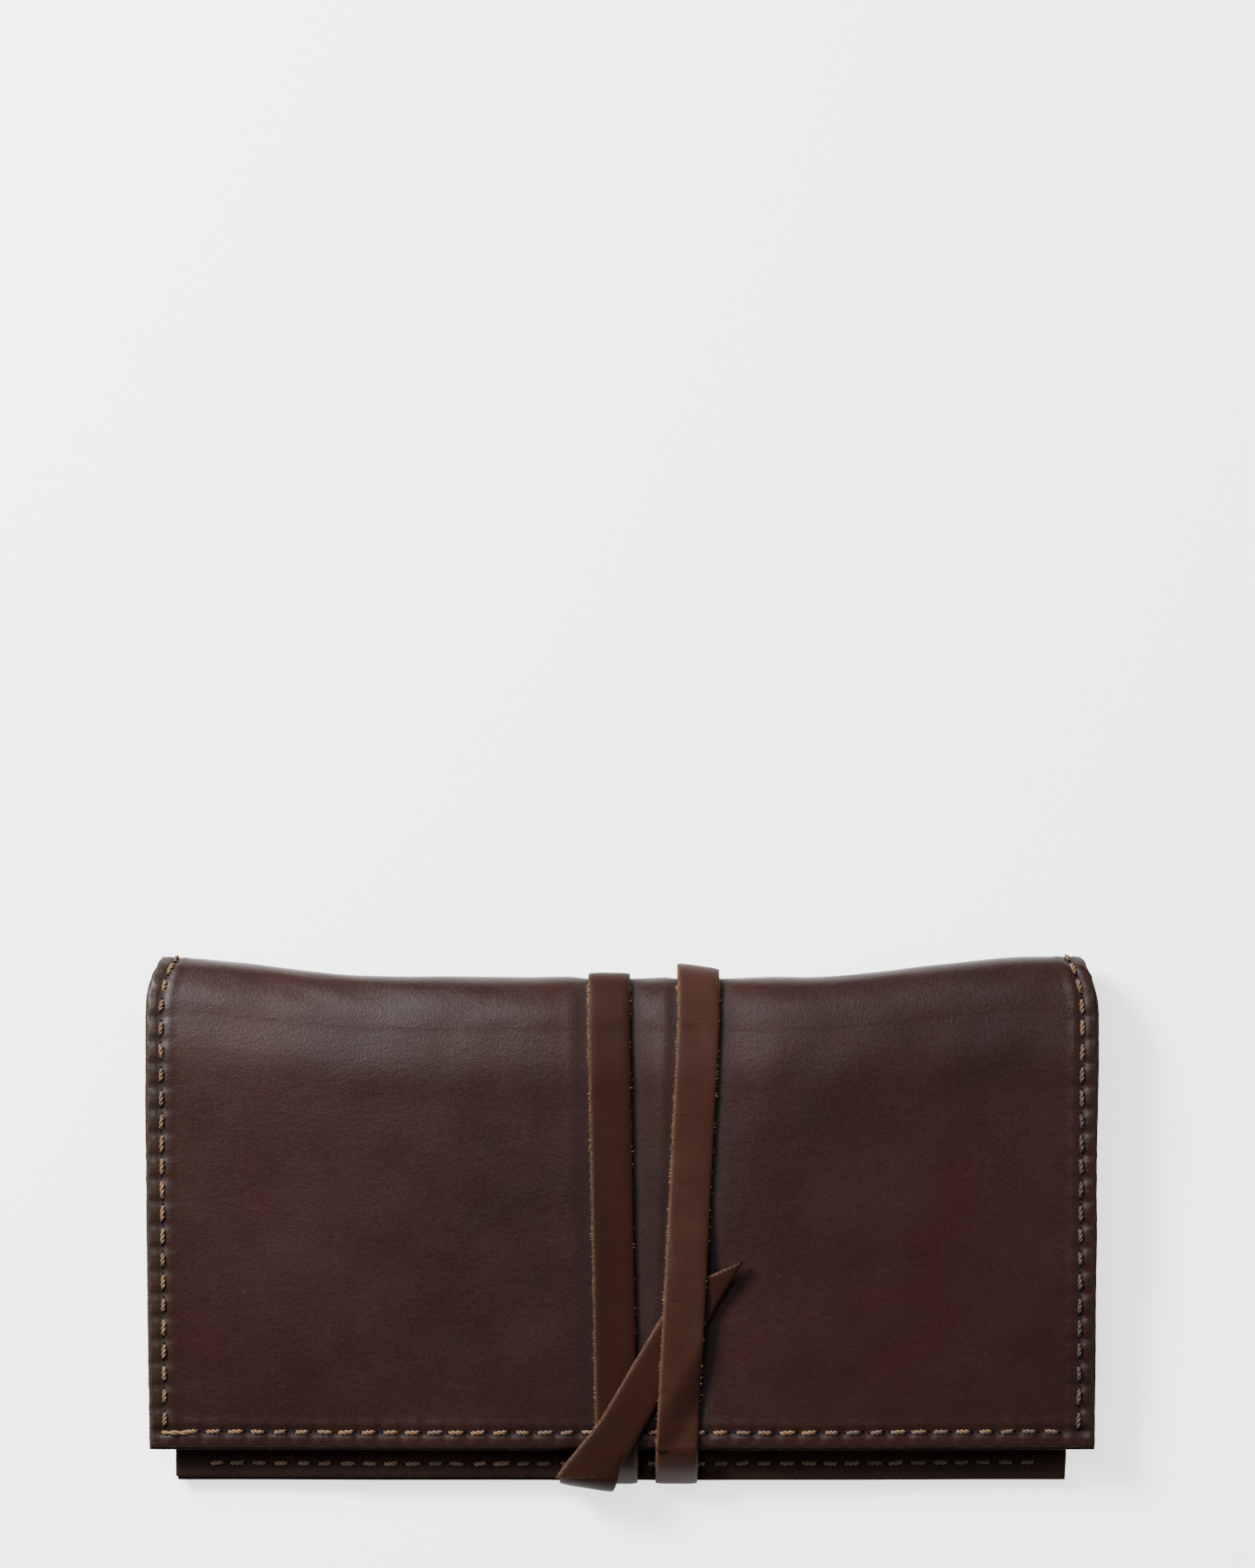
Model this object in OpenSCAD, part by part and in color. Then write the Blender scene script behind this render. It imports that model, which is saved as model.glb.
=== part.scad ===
// Leather brush roll case: a lined leather sheet folded once over its brush pockets,
// wound twice with a leather strap whose pointed tail is tucked under the second turn.
// X runs along the fold, +Y points towards the fold, +Z up through the closed case.

/* [Sheet] */
// Width of the front flap beside the fold
flap_w = 280; // [240:1:320]
// Width of the front flap at its free edge
flap_end_w = 278; // [236:1:318]
// Width of the sheet over the middle of the fold
fold_w = 276; // [232:1:312]
// Width of the back at its free edge
back_end_w = 265; // [224:1:300]
// Height of the back, from its free edge to the top of the fold
back_h = 154.7; // [130:0.1:190]
// How far the back shows below the flap
reveal = 10.1; // [4:0.1:16]
// How far the strap pulls the fold down at its middle
fold_dip = 5.8; // [0:0.1:8]
// Depth of the fold, from its crown to where the faces start
fold_depth = 15; // [12:0.1:22]
// Thickness of the closed case at the fold
case_t = 18.4; // [16:0.1:26]
// How much thinner the closed case is at the flap's free edge
flap_drop = 5; // [0:0.1:6]

/* [Leather] */
// Thickness of the cover leather
cover_t = 1.6; // [1:0.1:2.2]
// Thickness of the lining leather
lining_t = 1.2; // [0.8:0.1:1.8]
// Clearance between two layers that lie on each other
layer_gap = 0.2; // [0.1:0.05:0.4]
// Clearance between pieces that move on each other
moving_gap = 0.3; // [0.2:0.05:0.5]

/* [Brush pocket] */
// Number of brush channels
channel_n = 5; // [3:1:5]
// Distance from one channel to the next
channel_pitch = 24; // [16:0.5:24]
// Width of the flat seam between two channels
seam_w = 4; // [3:0.5:6]
// Clear height inside a channel
channel_h = 5; // [4.5:0.1:5.2]
// How much narrower a channel is at its roof, on each side
channel_draft = 3; // [1:0.1:4]
// Thickness of the pocket leather
pocket_t = 1.2; // [0.8:0.1:1.4]
// Length of the open channels
channel_l = 130; // [80:1:200]
// Flat margin between the closed ends and the side edge
pocket_margin = 11; // [8:0.5:20]
// Length of the sloping closed end
channel_end_l = 6; // [4:0.5:12]

/* [Strap] */
// Width of the strap
strap_w = 12; // [8:0.1:16]
// Thickness of the strap
strap_t = 1.6; // [1:0.1:2]
// Middle of the first turn at the fold
turn_a_top_x = -3.7; // [-30:0.1:0]
// Middle of the first turn at the free edge
turn_a_end_x = -1.5; // [-30:0.1:2]
// Gap between the two turns at the fold
turn_gap_top = 14.3; // [4:0.1:40]
// Gap between the two turns at the free edge
turn_gap_end = 5.7; // [4:0.1:40]
// How far the last turn covers the first behind the free edge
tail_cover = 0.5; // [0:0.1:2]
// Middle of the tail's lower end
tail_x = -8.6; // [-30:0.1:-4]
// Slope of the tail across the flap, from the X axis
tail_angle = 59.4; // [50:0.1:70]
// Length of the tail along its long side
tail_l = 73; // [50:1:90]
// Length of the slanted cut at the tip, along the strap
tip_cut = 17.5; // [6:0.5:30]
// Length of the strap's sewn end on the back
anchor_l = 26; // [18:1:28]

/* [Thread] */
// Distance from one stitch to the next
stitch_pitch = 6.5; // [4:0.1:8]
// Length of a stitch that shows
stitch_l = 4.3; // [3:0.1:5]
// Diameter of the thread
thread_d = 0.8; // [0.6:0.05:1]
// Distance from the edge to the stitch line
stitch_margin = 4.5; // [3:0.1:8]

/* [Hidden] */

leather = "#3a2622";
strap_leather = "#4b2a1f";
thread = "#9c7440";

layer_step = strap_t + layer_gap;            // one strap layer and its clearance
back_z = 2 * layer_step;                     // outer face of the back, over two strap layers
fold_mid_z = back_z + case_t / 2;
front_z = back_z + case_t;                   // outer face of the flap at the fold
thread_off = thread_d / 2 + 0.1;             // the thread's middle above the face it is sewn in
strap_out = moving_gap + 2 * strap_t + layer_gap;   // two strap layers past the back's free edge
stitch_crown = thread_d + 0.38;              // the stitches past the crown of the fold
back_end_y = (strap_out - back_h - stitch_crown) / 2;
flap_end_y = back_end_y + reveal;
fold_y = back_end_y + back_h - fold_depth;   // where the fold starts, at the sides
lining_depth = cover_t + layer_gap;          // from the outer face in to the lining
stack_t = lining_depth + lining_t;           // cover, gap and lining
pocket_z = back_z + stack_t + layer_gap;
pocket_top_z = pocket_z + pocket_t;

columns = 16;                                // strips across the sheet
fold_steps = 12;
flap_steps = 7;
dip_inner = 60;                              // half the width that the strap pulls flat
dip_outer = 132;                             // where the pull has died out
dip_x = -8;

function clamp(v, low, high) = min(max(v, low), high);
function ease(v) = 0.5 - 0.5 * cos(180 * clamp(v, 0, 1));
function mix(a, b, k) = a + (b - a) * k;

// How far the fold is pulled down at one place along it.
function dip(x) = fold_dip * ease((dip_outer - abs(x - dip_x)) / (dip_outer - dip_inner));
function fold_start(x) = fold_y - dip(x);

// Height of the flap's outer face.
function flap_share(x, y) = clamp((fold_start(x) - y) / (fold_start(x) - flap_end_y), 0, 1.2);
function flap_z(x, y) = front_z - flap_drop * pow(flap_share(x, y), 1.3);

// Outer face of the cover in the YZ plane at x, each point [y, z, half width of the sheet].
function back_line(x) = [for (k = [0 : 0.25 : 1])
    [mix(back_end_y, fold_start(x) - layer_gap, k), back_z, mix(back_end_w, fold_w - 3, k) / 2]];
function fold_line(x) = [for (k = [0 : fold_steps])
    let (a = -90 + 180 * k / fold_steps)
    [fold_start(x) + fold_depth * cos(a), fold_mid_z + case_t / 2 * sin(a),
     mix(fold_w - 3, flap_w, k / fold_steps) / 2]];
function flap_line_to(x, end_y) = [for (k = [0 : flap_steps])
    let (y = mix(fold_start(x) - moving_gap, end_y, k / flap_steps))
    [y, flap_z(x, y), mix(flap_w, flap_end_w, flap_share(x, y)) / 2]];
function flap_line(x) = flap_line_to(x, flap_end_y);

// Left-hand normal of each point of an open line, scaled so that offset walls stay parallel.
function unit(v) = v / norm(v);
function turned(v) = [-v[1], v[0]];
function yz(p) = [p[0], p[1]];
function segment_normal(line, i) = turned(unit(yz(line[i + 1]) - yz(line[i])));
function point_normal(line, i) =
    i == 0 ? segment_normal(line, 0)
    : i == len(line) - 1 ? segment_normal(line, i - 1)
    : let (a = segment_normal(line, i - 1), b = segment_normal(line, i))
      (a + b) / (1 + a * b);
// The ends are cut square to the table, so that two layers meet face to face.
function end_normal(line, i) =
    i == 0 || i == len(line) - 1 ? [0, sign(point_normal(line, i)[1])] : point_normal(line, i);
function offset_line(line, d) = [for (i = [0 : len(line) - 1])
    let (p = yz(line[i]) + d * end_normal(line, i)) concat(p, [line[i][2]])];

// A closed solid between two grids of points with the same rows and columns.
module slab(top, bottom) {
    rows = len(top);
    cols = len(top[0]);
    half = rows * cols;
    function at(i, j) = i * cols + j;
    points = concat([for (r = top) each r], [for (r = bottom) each r]);
    faces = concat(
        [for (i = [0 : rows - 2], j = [0 : cols - 2])
            each [[at(i, j), at(i + 1, j), at(i + 1, j + 1)], [at(i, j), at(i + 1, j + 1), at(i, j + 1)]]],
        [for (i = [0 : rows - 2], j = [0 : cols - 2])
            each [[half + at(i, j), half + at(i + 1, j + 1), half + at(i + 1, j)],
                  [half + at(i, j), half + at(i, j + 1), half + at(i + 1, j + 1)]]],
        [for (i = [0 : rows - 2], j = [0, cols - 1])
            let (a = at(i, j), b = at(i + 1, j))
            each j == 0 ? [[a, half + a, b], [b, half + a, half + b]]
                        : [[a, b, half + a], [b, half + b, half + a]]],
        [for (j = [0 : cols - 2], i = [0, rows - 1])
            let (a = at(i, j), b = at(i, j + 1))
            each i == 0 ? [[a, b, half + a], [b, half + b, half + a]]
                        : [[a, half + a, b], [b, half + a, half + b]]]);
    polyhedron(points, faces, convexity = 8);
}

// One layer of the sheet, from one depth under the cover's outer face to another.
// part is 0 for the back, 1 for the fold and 2 for the flap.
function part_line(part, x) = part == 0 ? back_line(x) : part == 1 ? fold_line(x) : flap_line(x);
function layer_grid(part, depth) =
    let (columns_of = [for (j = [0 : columns])
        let (u = -1 + 2 * j / columns, line = part_line(part, u * flap_w / 2))
        [for (p = offset_line(line, depth)) [u * p[2], p[0], p[1]]]])
    [for (i = [0 : len(columns_of[0]) - 1]) [for (j = [0 : columns]) columns_of[j][i]]];
module layer(part, depth, t) slab(layer_grid(part, depth + t), layer_grid(part, depth));

module cover_back() color(leather) layer(0, 0, cover_t);
module cover_fold() color(leather) layer(1, 0, cover_t);
module cover_flap() color(leather) layer(2, 0, cover_t);
module lining_back() color(leather) layer(0, lining_depth, lining_t);
module lining_fold() color(leather) layer(1, lining_depth, lining_t);
module lining_flap() color(leather) layer(2, lining_depth, lining_t);

// Brush pocket: one panel that arches over each channel and is sewn flat between them.
channel_half = (channel_pitch - seam_w) / 2;
wall_out = pocket_t * 0.57;                  // a sloped wall's run past its inner face
pocket_low_y = back_end_y + 0.5;
first_channel_y = pocket_low_y + 9.5 + channel_half + wall_out;
pocket_left_x = -back_end_w / 2 + 0.5;
channel_start_x = pocket_left_x + pocket_margin;
function channel_y(k) = first_channel_y + k * channel_pitch;
pocket_high_y = channel_y(channel_n - 1) + channel_half + wall_out + seam_w;

// The panel's two faces across one channel at a share of its full height.
function arch(k, rise, out, z) = [
    [channel_y(k) - channel_half - out, z],
    [channel_y(k) - channel_half + channel_draft - out, z + rise],
    [channel_y(k) + channel_half - channel_draft + out, z + rise],
    [channel_y(k) + channel_half + out, z]];
function pocket_row(rise, out, z) = concat(
    [[pocket_low_y, z]],
    [for (k = [0 : channel_n - 1]) each arch(k, rise, out, z)],
    [[pocket_high_y, z]]);
function pocket_grid(out, z) =
    [for (x_rise = [[pocket_left_x, 0], [channel_start_x, 0],
                    [channel_start_x + channel_end_l, channel_h],
                    [channel_start_x + channel_l, channel_h]])
        [for (p = pocket_row(x_rise[1], out, z)) [x_rise[0], p[0], p[1]]]];
module brush_pocket() color(leather)
    slab(pocket_grid(wall_out, pocket_top_z), pocket_grid(0, pocket_z));

// One stitch: a short length of thread on a face, at p, along a direction in the XY or YZ plane.
module stitch_x(p) translate(p) rotate([0, 90, 0]) cylinder(h = stitch_l, d = thread_d, center = true, $fn = 8);
module stitch_y(p, slope) translate(p) rotate([slope - 90, 0, 0])
    cylinder(h = stitch_l, d = thread_d, center = true, $fn = 8);

module seam_stitches(y) {
    count = floor((channel_l - 2 * stitch_l) / stitch_pitch);
    for (i = [0 : count])
        stitch_x([channel_start_x + channel_end_l + stitch_l + i * stitch_pitch, y, pocket_top_z + thread_off]);
}
module pocket_seam_stitching() color(thread)
    for (k = [0 : channel_n - 2]) seam_stitches(channel_y(k) + channel_pitch / 2);

// Places of the stitches across a free edge of the given width.
function end_stitch_xs(width) =
    let (span = width - 2 * stitch_margin, count = floor(span / stitch_pitch))
    [for (i = [0 : count - 1]) -span / 2 + (i + 0.5) * span / count];
// Stitches down both sides along a line of [y, z, half width] points on a face.
module side_stitches(line, out)
    for (side = [-1, 1], i = [0 : len(line) - 2])
        let (a = yz(line[i]), b = yz(line[i + 1]), run = norm(b - a),
             count = max(1, round(run / stitch_pitch)), slope = atan2(b[1] - a[1], b[0] - a[0]))
        for (k = [0 : count - 1])
            let (s = (k + 0.5) / count, p = mix(a, b, s) + out * turned(unit(b - a)))
            stitch_y([side * (mix(line[i][2], line[i + 1][2], s) - stitch_margin), p[0], p[1]], slope);

// The back's stitches show on its inner face, beside the pocket and on it.
pocket_right_x = channel_start_x + channel_l;
lining_stitch_z = back_z + stack_t + thread_off;
function inner_stitch_z(x, y) =
    x < pocket_right_x && y < pocket_high_y ? pocket_top_z + thread_off : lining_stitch_z;
module back_edge_stitching() color(thread) {
    end_y = back_end_y + stitch_margin;
    for (x = end_stitch_xs(back_end_w - 2 * stitch_margin))
        if (abs(x - pocket_right_x) > stitch_l) stitch_x([x, end_y, inner_stitch_z(x, end_y)]);
    for (side = [-1, 1], y = [end_y + stitch_pitch : stitch_pitch : fold_y - stitch_l])
        let (x = side * (mix(back_end_w, fold_w - 3, (y - back_end_y) / (fold_y - back_end_y)) / 2 - stitch_margin))
        if (x > 0 || abs(y - pocket_high_y) > stitch_l) stitch_y([x, y, inner_stitch_z(x, y)], 0);
}
// One stitch lies on every second edge between the fold's facets.
module fold_edge_stitching() color(thread)
    for (side = [-1, 1])
        let (line = fold_line(side * flap_w / 2))
        for (i = [1 : 2 : fold_steps - 1])
            let (p = yz(line[i]) - thread_off * unit(point_normal(line, i)), along = yz(line[i + 1]) - yz(line[i - 1]))
            stitch_y([side * (line[i][2] - stitch_margin), p[0], p[1]], atan2(along[1], along[0]));
function under_strap(x, middle) = abs(x - middle) < (strap_w + stitch_l) / 2 + moving_gap;
module flap_edge_stitching() color(thread) {
    edge_y = flap_end_y + stitch_margin;
    for (x = end_stitch_xs(flap_end_w - 2 * stitch_margin))
        if (!under_strap(x, turn_a_end_x) && !under_strap(x, turn_b_end_x))
            stitch_x([x, edge_y, flap_z(0, edge_y) + thread_off]);
    line = flap_line_to(flap_w / 2, edge_y + stitch_l);
    side_stitches(line, -thread_off);
}

// A length of strap: a centre line of [y, z] points, and the middle of its width at each.
module ribbon(line, xs) {
    function row(side, out) = [for (i = [0 : len(line) - 1])
        let (p = line[i] + out * strap_t / 2 * point_normal(line, i)) [xs[i] + side * strap_w / 2, p[0], p[1]]];
    slab([row(1, 1), row(-1, 1)], [row(1, -1), row(-1, -1)]);
}
function spread(a, b, line) = [for (i = [0 : len(line) - 1]) mix(a, b, i / (len(line) - 1))];

turn_b_top_x = turn_a_top_x + strap_w + turn_gap_top;
turn_b_end_x = turn_a_end_x + strap_w + turn_gap_end;
tail_back_x = turn_a_end_x - strap_w + tail_cover;
strap_off = moving_gap + strap_t / 2;        // the strap's middle above the flap
inner_layer_z = back_z - layer_gap - strap_t / 2;
outer_layer_z = strap_t / 2;
edge_out_y = back_end_y - moving_gap - strap_t / 2;
bend_start_y = back_end_y + 4;               // where a back run meets a bottom bend
tail_clear = strap_t + 2 * moving_gap;       // from the flap up to the tail, over the first turn
lift_clear = tail_clear + strap_t + 2 * moving_gap;   // from the flap up to the second turn, over the tail
tail_low_y = back_end_y + 2.6;

// Middle of a turn in front, at y.
function turn_x(top_x, end_x, y) = mix(end_x, top_x, (y - flap_end_y) / (fold_y - flap_end_y));
// Where the second turn is lifted over the tail: 0 clear of it, 1 over it.
tail_mid_y = tail_low_y + (turn_b_end_x - tail_x) * tan(tail_angle);
lift_half = (strap_w * (1 + 1 / cos(tail_angle))) / 2 + 5;
lift_ramp = 9;
function lift(y) = (lift_clear - moving_gap) * ease((lift_half + lift_ramp - abs(y - tail_mid_y)) / lift_ramp);

function front_run_line(x, lifted) = [for (k = [0 : 20])
    let (y = mix(fold_start(x) - moving_gap, flap_end_y + moving_gap, k / 20))
    [y, flap_z(x, y) + strap_off + (lifted ? lift(y) : 0)]];
bend_slack = 0.8;                            // how far a bend stands off the fold
bend_steps = 16;
function top_bend_line(x, low_z) =
    let (high_z = front_z + strap_off, mid = (high_z + low_z) / 2, rise = (high_z - low_z) / 2)
    [for (k = [0 : bend_steps]) let (a = -90 + 180 * k / bend_steps)
        [fold_start(x) + (fold_depth + strap_off + bend_slack) * cos(a), mid + rise * sin(a)]];
function bottom_bend_line(low_z) = [
    [flap_end_y - moving_gap, flap_z(0, flap_end_y) + strap_off],
    [edge_out_y + 2.4, pocket_top_z + 4],
    [edge_out_y, pocket_top_z + 1],
    [edge_out_y, low_z],
    [bend_start_y - layer_gap, low_z]];
tail_slope = (flap_z(0, tail_mid_y) - flap_z(0, flap_end_y)) / (tail_mid_y - flap_end_y);
tail_low_z = flap_z(0, flap_end_y) + tail_clear + strap_t / 2 - (flap_end_y - tail_low_y) * tail_slope;
bend_out_y = edge_out_y - strap_t - layer_gap;
tail_bend_line = [
    [tail_low_y - moving_gap, tail_low_z],
    [edge_out_y, tail_low_z - 0.7],
    [bend_out_y, tail_low_z - 3.2],
    [bend_out_y, outer_layer_z],
    [bend_start_y - layer_gap, outer_layer_z]];

// The back runs lie on the surface under the case, and where they cross the first steps over the second.
back_run_n = 20;
cross_ramp = 12;
back_run_end_y = fold_start(dip_x) - layer_gap;
cross_closing = turn_b_end_x - tail_back_x + turn_b_top_x - turn_a_top_x;
cross_half = strap_w * (back_run_end_y - bend_start_y) / cross_closing + 3;
cross_share = (turn_b_end_x - tail_back_x) / cross_closing;
cross_y = mix(bend_start_y, back_run_end_y, cross_share);
function cross_z(y) = mix(outer_layer_z, inner_layer_z, ease((cross_half + cross_ramp - abs(y - cross_y)) / cross_ramp));
back_run_a_line = [for (k = [0 : back_run_n])
    let (y = mix(bend_start_y, back_run_end_y, k / back_run_n)) [y, cross_z(y)]];

module strap_anchor_end() color(strap_leather)
    ribbon([for (k = [0, 1]) [bend_start_y + k * anchor_l, inner_layer_z]], [turn_a_end_x, turn_a_end_x]);
module strap_anchor_stitching() color(thread)
    for (k = [0, 1])
        stitch_x([turn_a_end_x, bend_start_y + 3.5 + k * stitch_margin, inner_layer_z - strap_t / 2 - thread_off]);
module bottom_bend(x, low_z) {
    line = bottom_bend_line(low_z);
    ribbon(line, spread(x, x, line));
}
module strap_bottom_bend_a() color(strap_leather) bottom_bend(turn_a_end_x, inner_layer_z);
module strap_bottom_bend_b() color(strap_leather) bottom_bend(turn_b_end_x, outer_layer_z);
module strap_bottom_bend_tail() color(strap_leather)
    ribbon(tail_bend_line, spread(tail_x, tail_back_x, tail_bend_line));
module front_run(top_x, end_x, lifted) {
    line = front_run_line(top_x, lifted);
    ribbon(line, [for (p = line) turn_x(top_x, end_x, p[0])]);
}
module strap_front_run_a() color(strap_leather) front_run(turn_a_top_x, turn_a_end_x, false);
module strap_front_run_b() color(strap_leather) front_run(turn_b_top_x, turn_b_end_x, true);
module top_bend(x) {
    line = top_bend_line(x, outer_layer_z);
    ribbon([for (i = [len(line) - 1 : -1 : 0]) line[i]], [for (p = line) x]);
}
module strap_top_bend_a() color(strap_leather) top_bend(turn_a_top_x);
module strap_top_bend_b() color(strap_leather) top_bend(turn_b_top_x);
module strap_back_run_a() color(strap_leather)
    ribbon(back_run_a_line, spread(turn_b_end_x, turn_a_top_x, back_run_a_line));
module strap_back_run_b() color(strap_leather)
    linear_extrude(strap_t)
        polygon([[tail_back_x - strap_w / 2, bend_start_y], [tail_back_x + strap_w / 2, bend_start_y],
                 [turn_b_top_x + strap_w / 2, back_run_end_y], [turn_b_top_x - strap_w / 2, back_run_end_y]]);

// The tail: a flat plate cut to a point, over the first turn and under the second.
cut_run = strap_w / (2 * tan(tail_angle));   // half the run of the lower end's slanted cut
module strap_tail() color(strap_leather)
    translate([tail_x, tail_low_y, tail_low_z])
        rotate([atan(tail_slope), 0, 0]) rotate([0, 0, tail_angle])
            translate([0, 0, -strap_t / 2])
                linear_extrude(strap_t)
                    polygon([[cut_run, -strap_w / 2], [cut_run + tail_l, -strap_w / 2],
                             [cut_run + tail_l - tip_cut, strap_w / 2], [-cut_run, strap_w / 2]]);

cover_back();
cover_fold();
cover_flap();
lining_back();
lining_fold();
lining_flap();
brush_pocket();
pocket_seam_stitching();
back_edge_stitching();
fold_edge_stitching();
flap_edge_stitching();
strap_anchor_end();
strap_anchor_stitching();
strap_bottom_bend_a();
strap_front_run_a();
strap_top_bend_a();
strap_back_run_a();
strap_bottom_bend_b();
strap_front_run_b();
strap_top_bend_b();
strap_back_run_b();
strap_bottom_bend_tail();
strap_tail();
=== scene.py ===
"""The looks of a leather brush roll case: cover, lining, brush pocket, strap, thread and raw edges."""

from __future__ import annotations

import logging
import math
import random
from bisect import bisect_right
from dataclasses import dataclass
from enum import Enum
from functools import cached_property
from typing import Callable, Iterable, Sequence

import bmesh
import bpy
from mathutils import Matrix, Vector, noise
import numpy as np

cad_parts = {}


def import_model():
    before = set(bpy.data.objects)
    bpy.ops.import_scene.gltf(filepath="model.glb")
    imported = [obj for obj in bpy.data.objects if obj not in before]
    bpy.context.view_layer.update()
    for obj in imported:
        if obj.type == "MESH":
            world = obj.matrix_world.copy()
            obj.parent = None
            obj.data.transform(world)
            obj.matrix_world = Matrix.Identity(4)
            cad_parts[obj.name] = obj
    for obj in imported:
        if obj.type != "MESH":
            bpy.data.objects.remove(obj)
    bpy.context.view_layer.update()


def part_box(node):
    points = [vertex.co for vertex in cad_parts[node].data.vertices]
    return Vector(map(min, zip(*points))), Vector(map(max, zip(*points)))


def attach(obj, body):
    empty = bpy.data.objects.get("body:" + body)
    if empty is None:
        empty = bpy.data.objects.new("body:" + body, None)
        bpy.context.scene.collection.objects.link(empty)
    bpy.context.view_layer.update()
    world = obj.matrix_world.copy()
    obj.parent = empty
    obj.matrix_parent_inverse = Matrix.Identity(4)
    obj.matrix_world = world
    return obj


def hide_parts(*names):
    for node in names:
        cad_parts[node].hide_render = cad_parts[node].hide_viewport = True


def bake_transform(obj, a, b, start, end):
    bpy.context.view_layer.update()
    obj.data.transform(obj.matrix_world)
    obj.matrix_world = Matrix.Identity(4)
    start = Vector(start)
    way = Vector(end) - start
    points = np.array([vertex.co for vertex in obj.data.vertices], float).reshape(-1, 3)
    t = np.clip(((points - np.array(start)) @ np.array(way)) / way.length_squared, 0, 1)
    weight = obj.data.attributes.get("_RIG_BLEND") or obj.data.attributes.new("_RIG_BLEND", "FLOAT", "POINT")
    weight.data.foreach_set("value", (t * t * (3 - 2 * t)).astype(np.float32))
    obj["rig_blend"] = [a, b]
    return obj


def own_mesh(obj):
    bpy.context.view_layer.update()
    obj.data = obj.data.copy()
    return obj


LOG = logging.getLogger("brush_case")
MM = 0.001
STITCH_SEED = 7
FIBRE_SEED = 11

Mesh = bmesh.types.BMesh
Material = bpy.types.Material
Object = bpy.types.Object
Socket = bpy.types.NodeSocket
Colour = tuple[float, float, float, float]
Root = tuple[Vector, Vector]
Path = Callable[[float], Root]
Lift = Callable[[float, float], float]


# ---------------------------------------------------------------- small sums


def clamp(value: float, low: float = 0.0, high: float = 1.0) -> float:
    """Returns value kept between low and high."""
    return min(max(value, low), high)


def ease(value: float) -> float:
    """Returns a smooth step from 0 to 1 as value goes from 0 to 1."""
    share = clamp(value)
    return share * share * (3.0 - 2.0 * share)


def mix(start: float, end: float, share: float) -> float:
    """Returns the value that lies a share of the way from start to end."""
    return start + (end - start) * share


def hump(distance: float, reach: float) -> float:
    """Returns 1 at distance 0, falling smoothly to nothing at reach."""
    return ease(1.0 - abs(distance) / reach)


def wander(place: Vector, size: float, seed: float = 0.0) -> float:
    """Returns smooth noise of about -1 to 1.

    Args:
        place: Where it is read, in metres.
        size: The width of one swelling, in metres.
        seed: Moves the pattern.
    """
    return noise.noise(place / size + Vector((seed, 1.7 * seed, -seed)))


# ---------------------------------------------------------------- shader graph


class Value:
    """A number inside a material that ordinary sums can be written with."""

    def __init__(self, graph: "Graph", socket: Socket) -> None:
        """Keeps the socket and the graph it belongs to."""
        self.graph = graph
        self.socket = socket

    def _math(self, operation: str, *operands: "Value | float") -> "Value":
        """Adds one Math node and returns its result."""
        node = self.graph.node("ShaderNodeMath", {"operation": operation}, dict(enumerate(operands)))
        return Value(self.graph, node.outputs[0])

    def __add__(self, other: "Value | float") -> "Value":
        """Returns self + other."""
        return self._math("ADD", self, other)

    def __radd__(self, other: float) -> "Value":
        """Returns other + self."""
        return self._math("ADD", other, self)

    def __sub__(self, other: "Value | float") -> "Value":
        """Returns self - other."""
        return self._math("SUBTRACT", self, other)

    def __rsub__(self, other: float) -> "Value":
        """Returns other - self."""
        return self._math("SUBTRACT", other, self)

    def __mul__(self, other: "Value | float") -> "Value":
        """Returns self * other."""
        return self._math("MULTIPLY", self, other)

    def __rmul__(self, other: float) -> "Value":
        """Returns other * self."""
        return self._math("MULTIPLY", other, self)

    def step(self, start: float, end: float) -> "Value":
        """Returns a smooth step from 0 to 1 as self goes from start to end."""
        node = self.graph.node(
            "ShaderNodeMapRange",
            {"interpolation_type": "SMOOTHSTEP"},
            {"Value": self, "From Min": start, "From Max": end},
        )
        return Value(self.graph, node.outputs["Result"])


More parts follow.
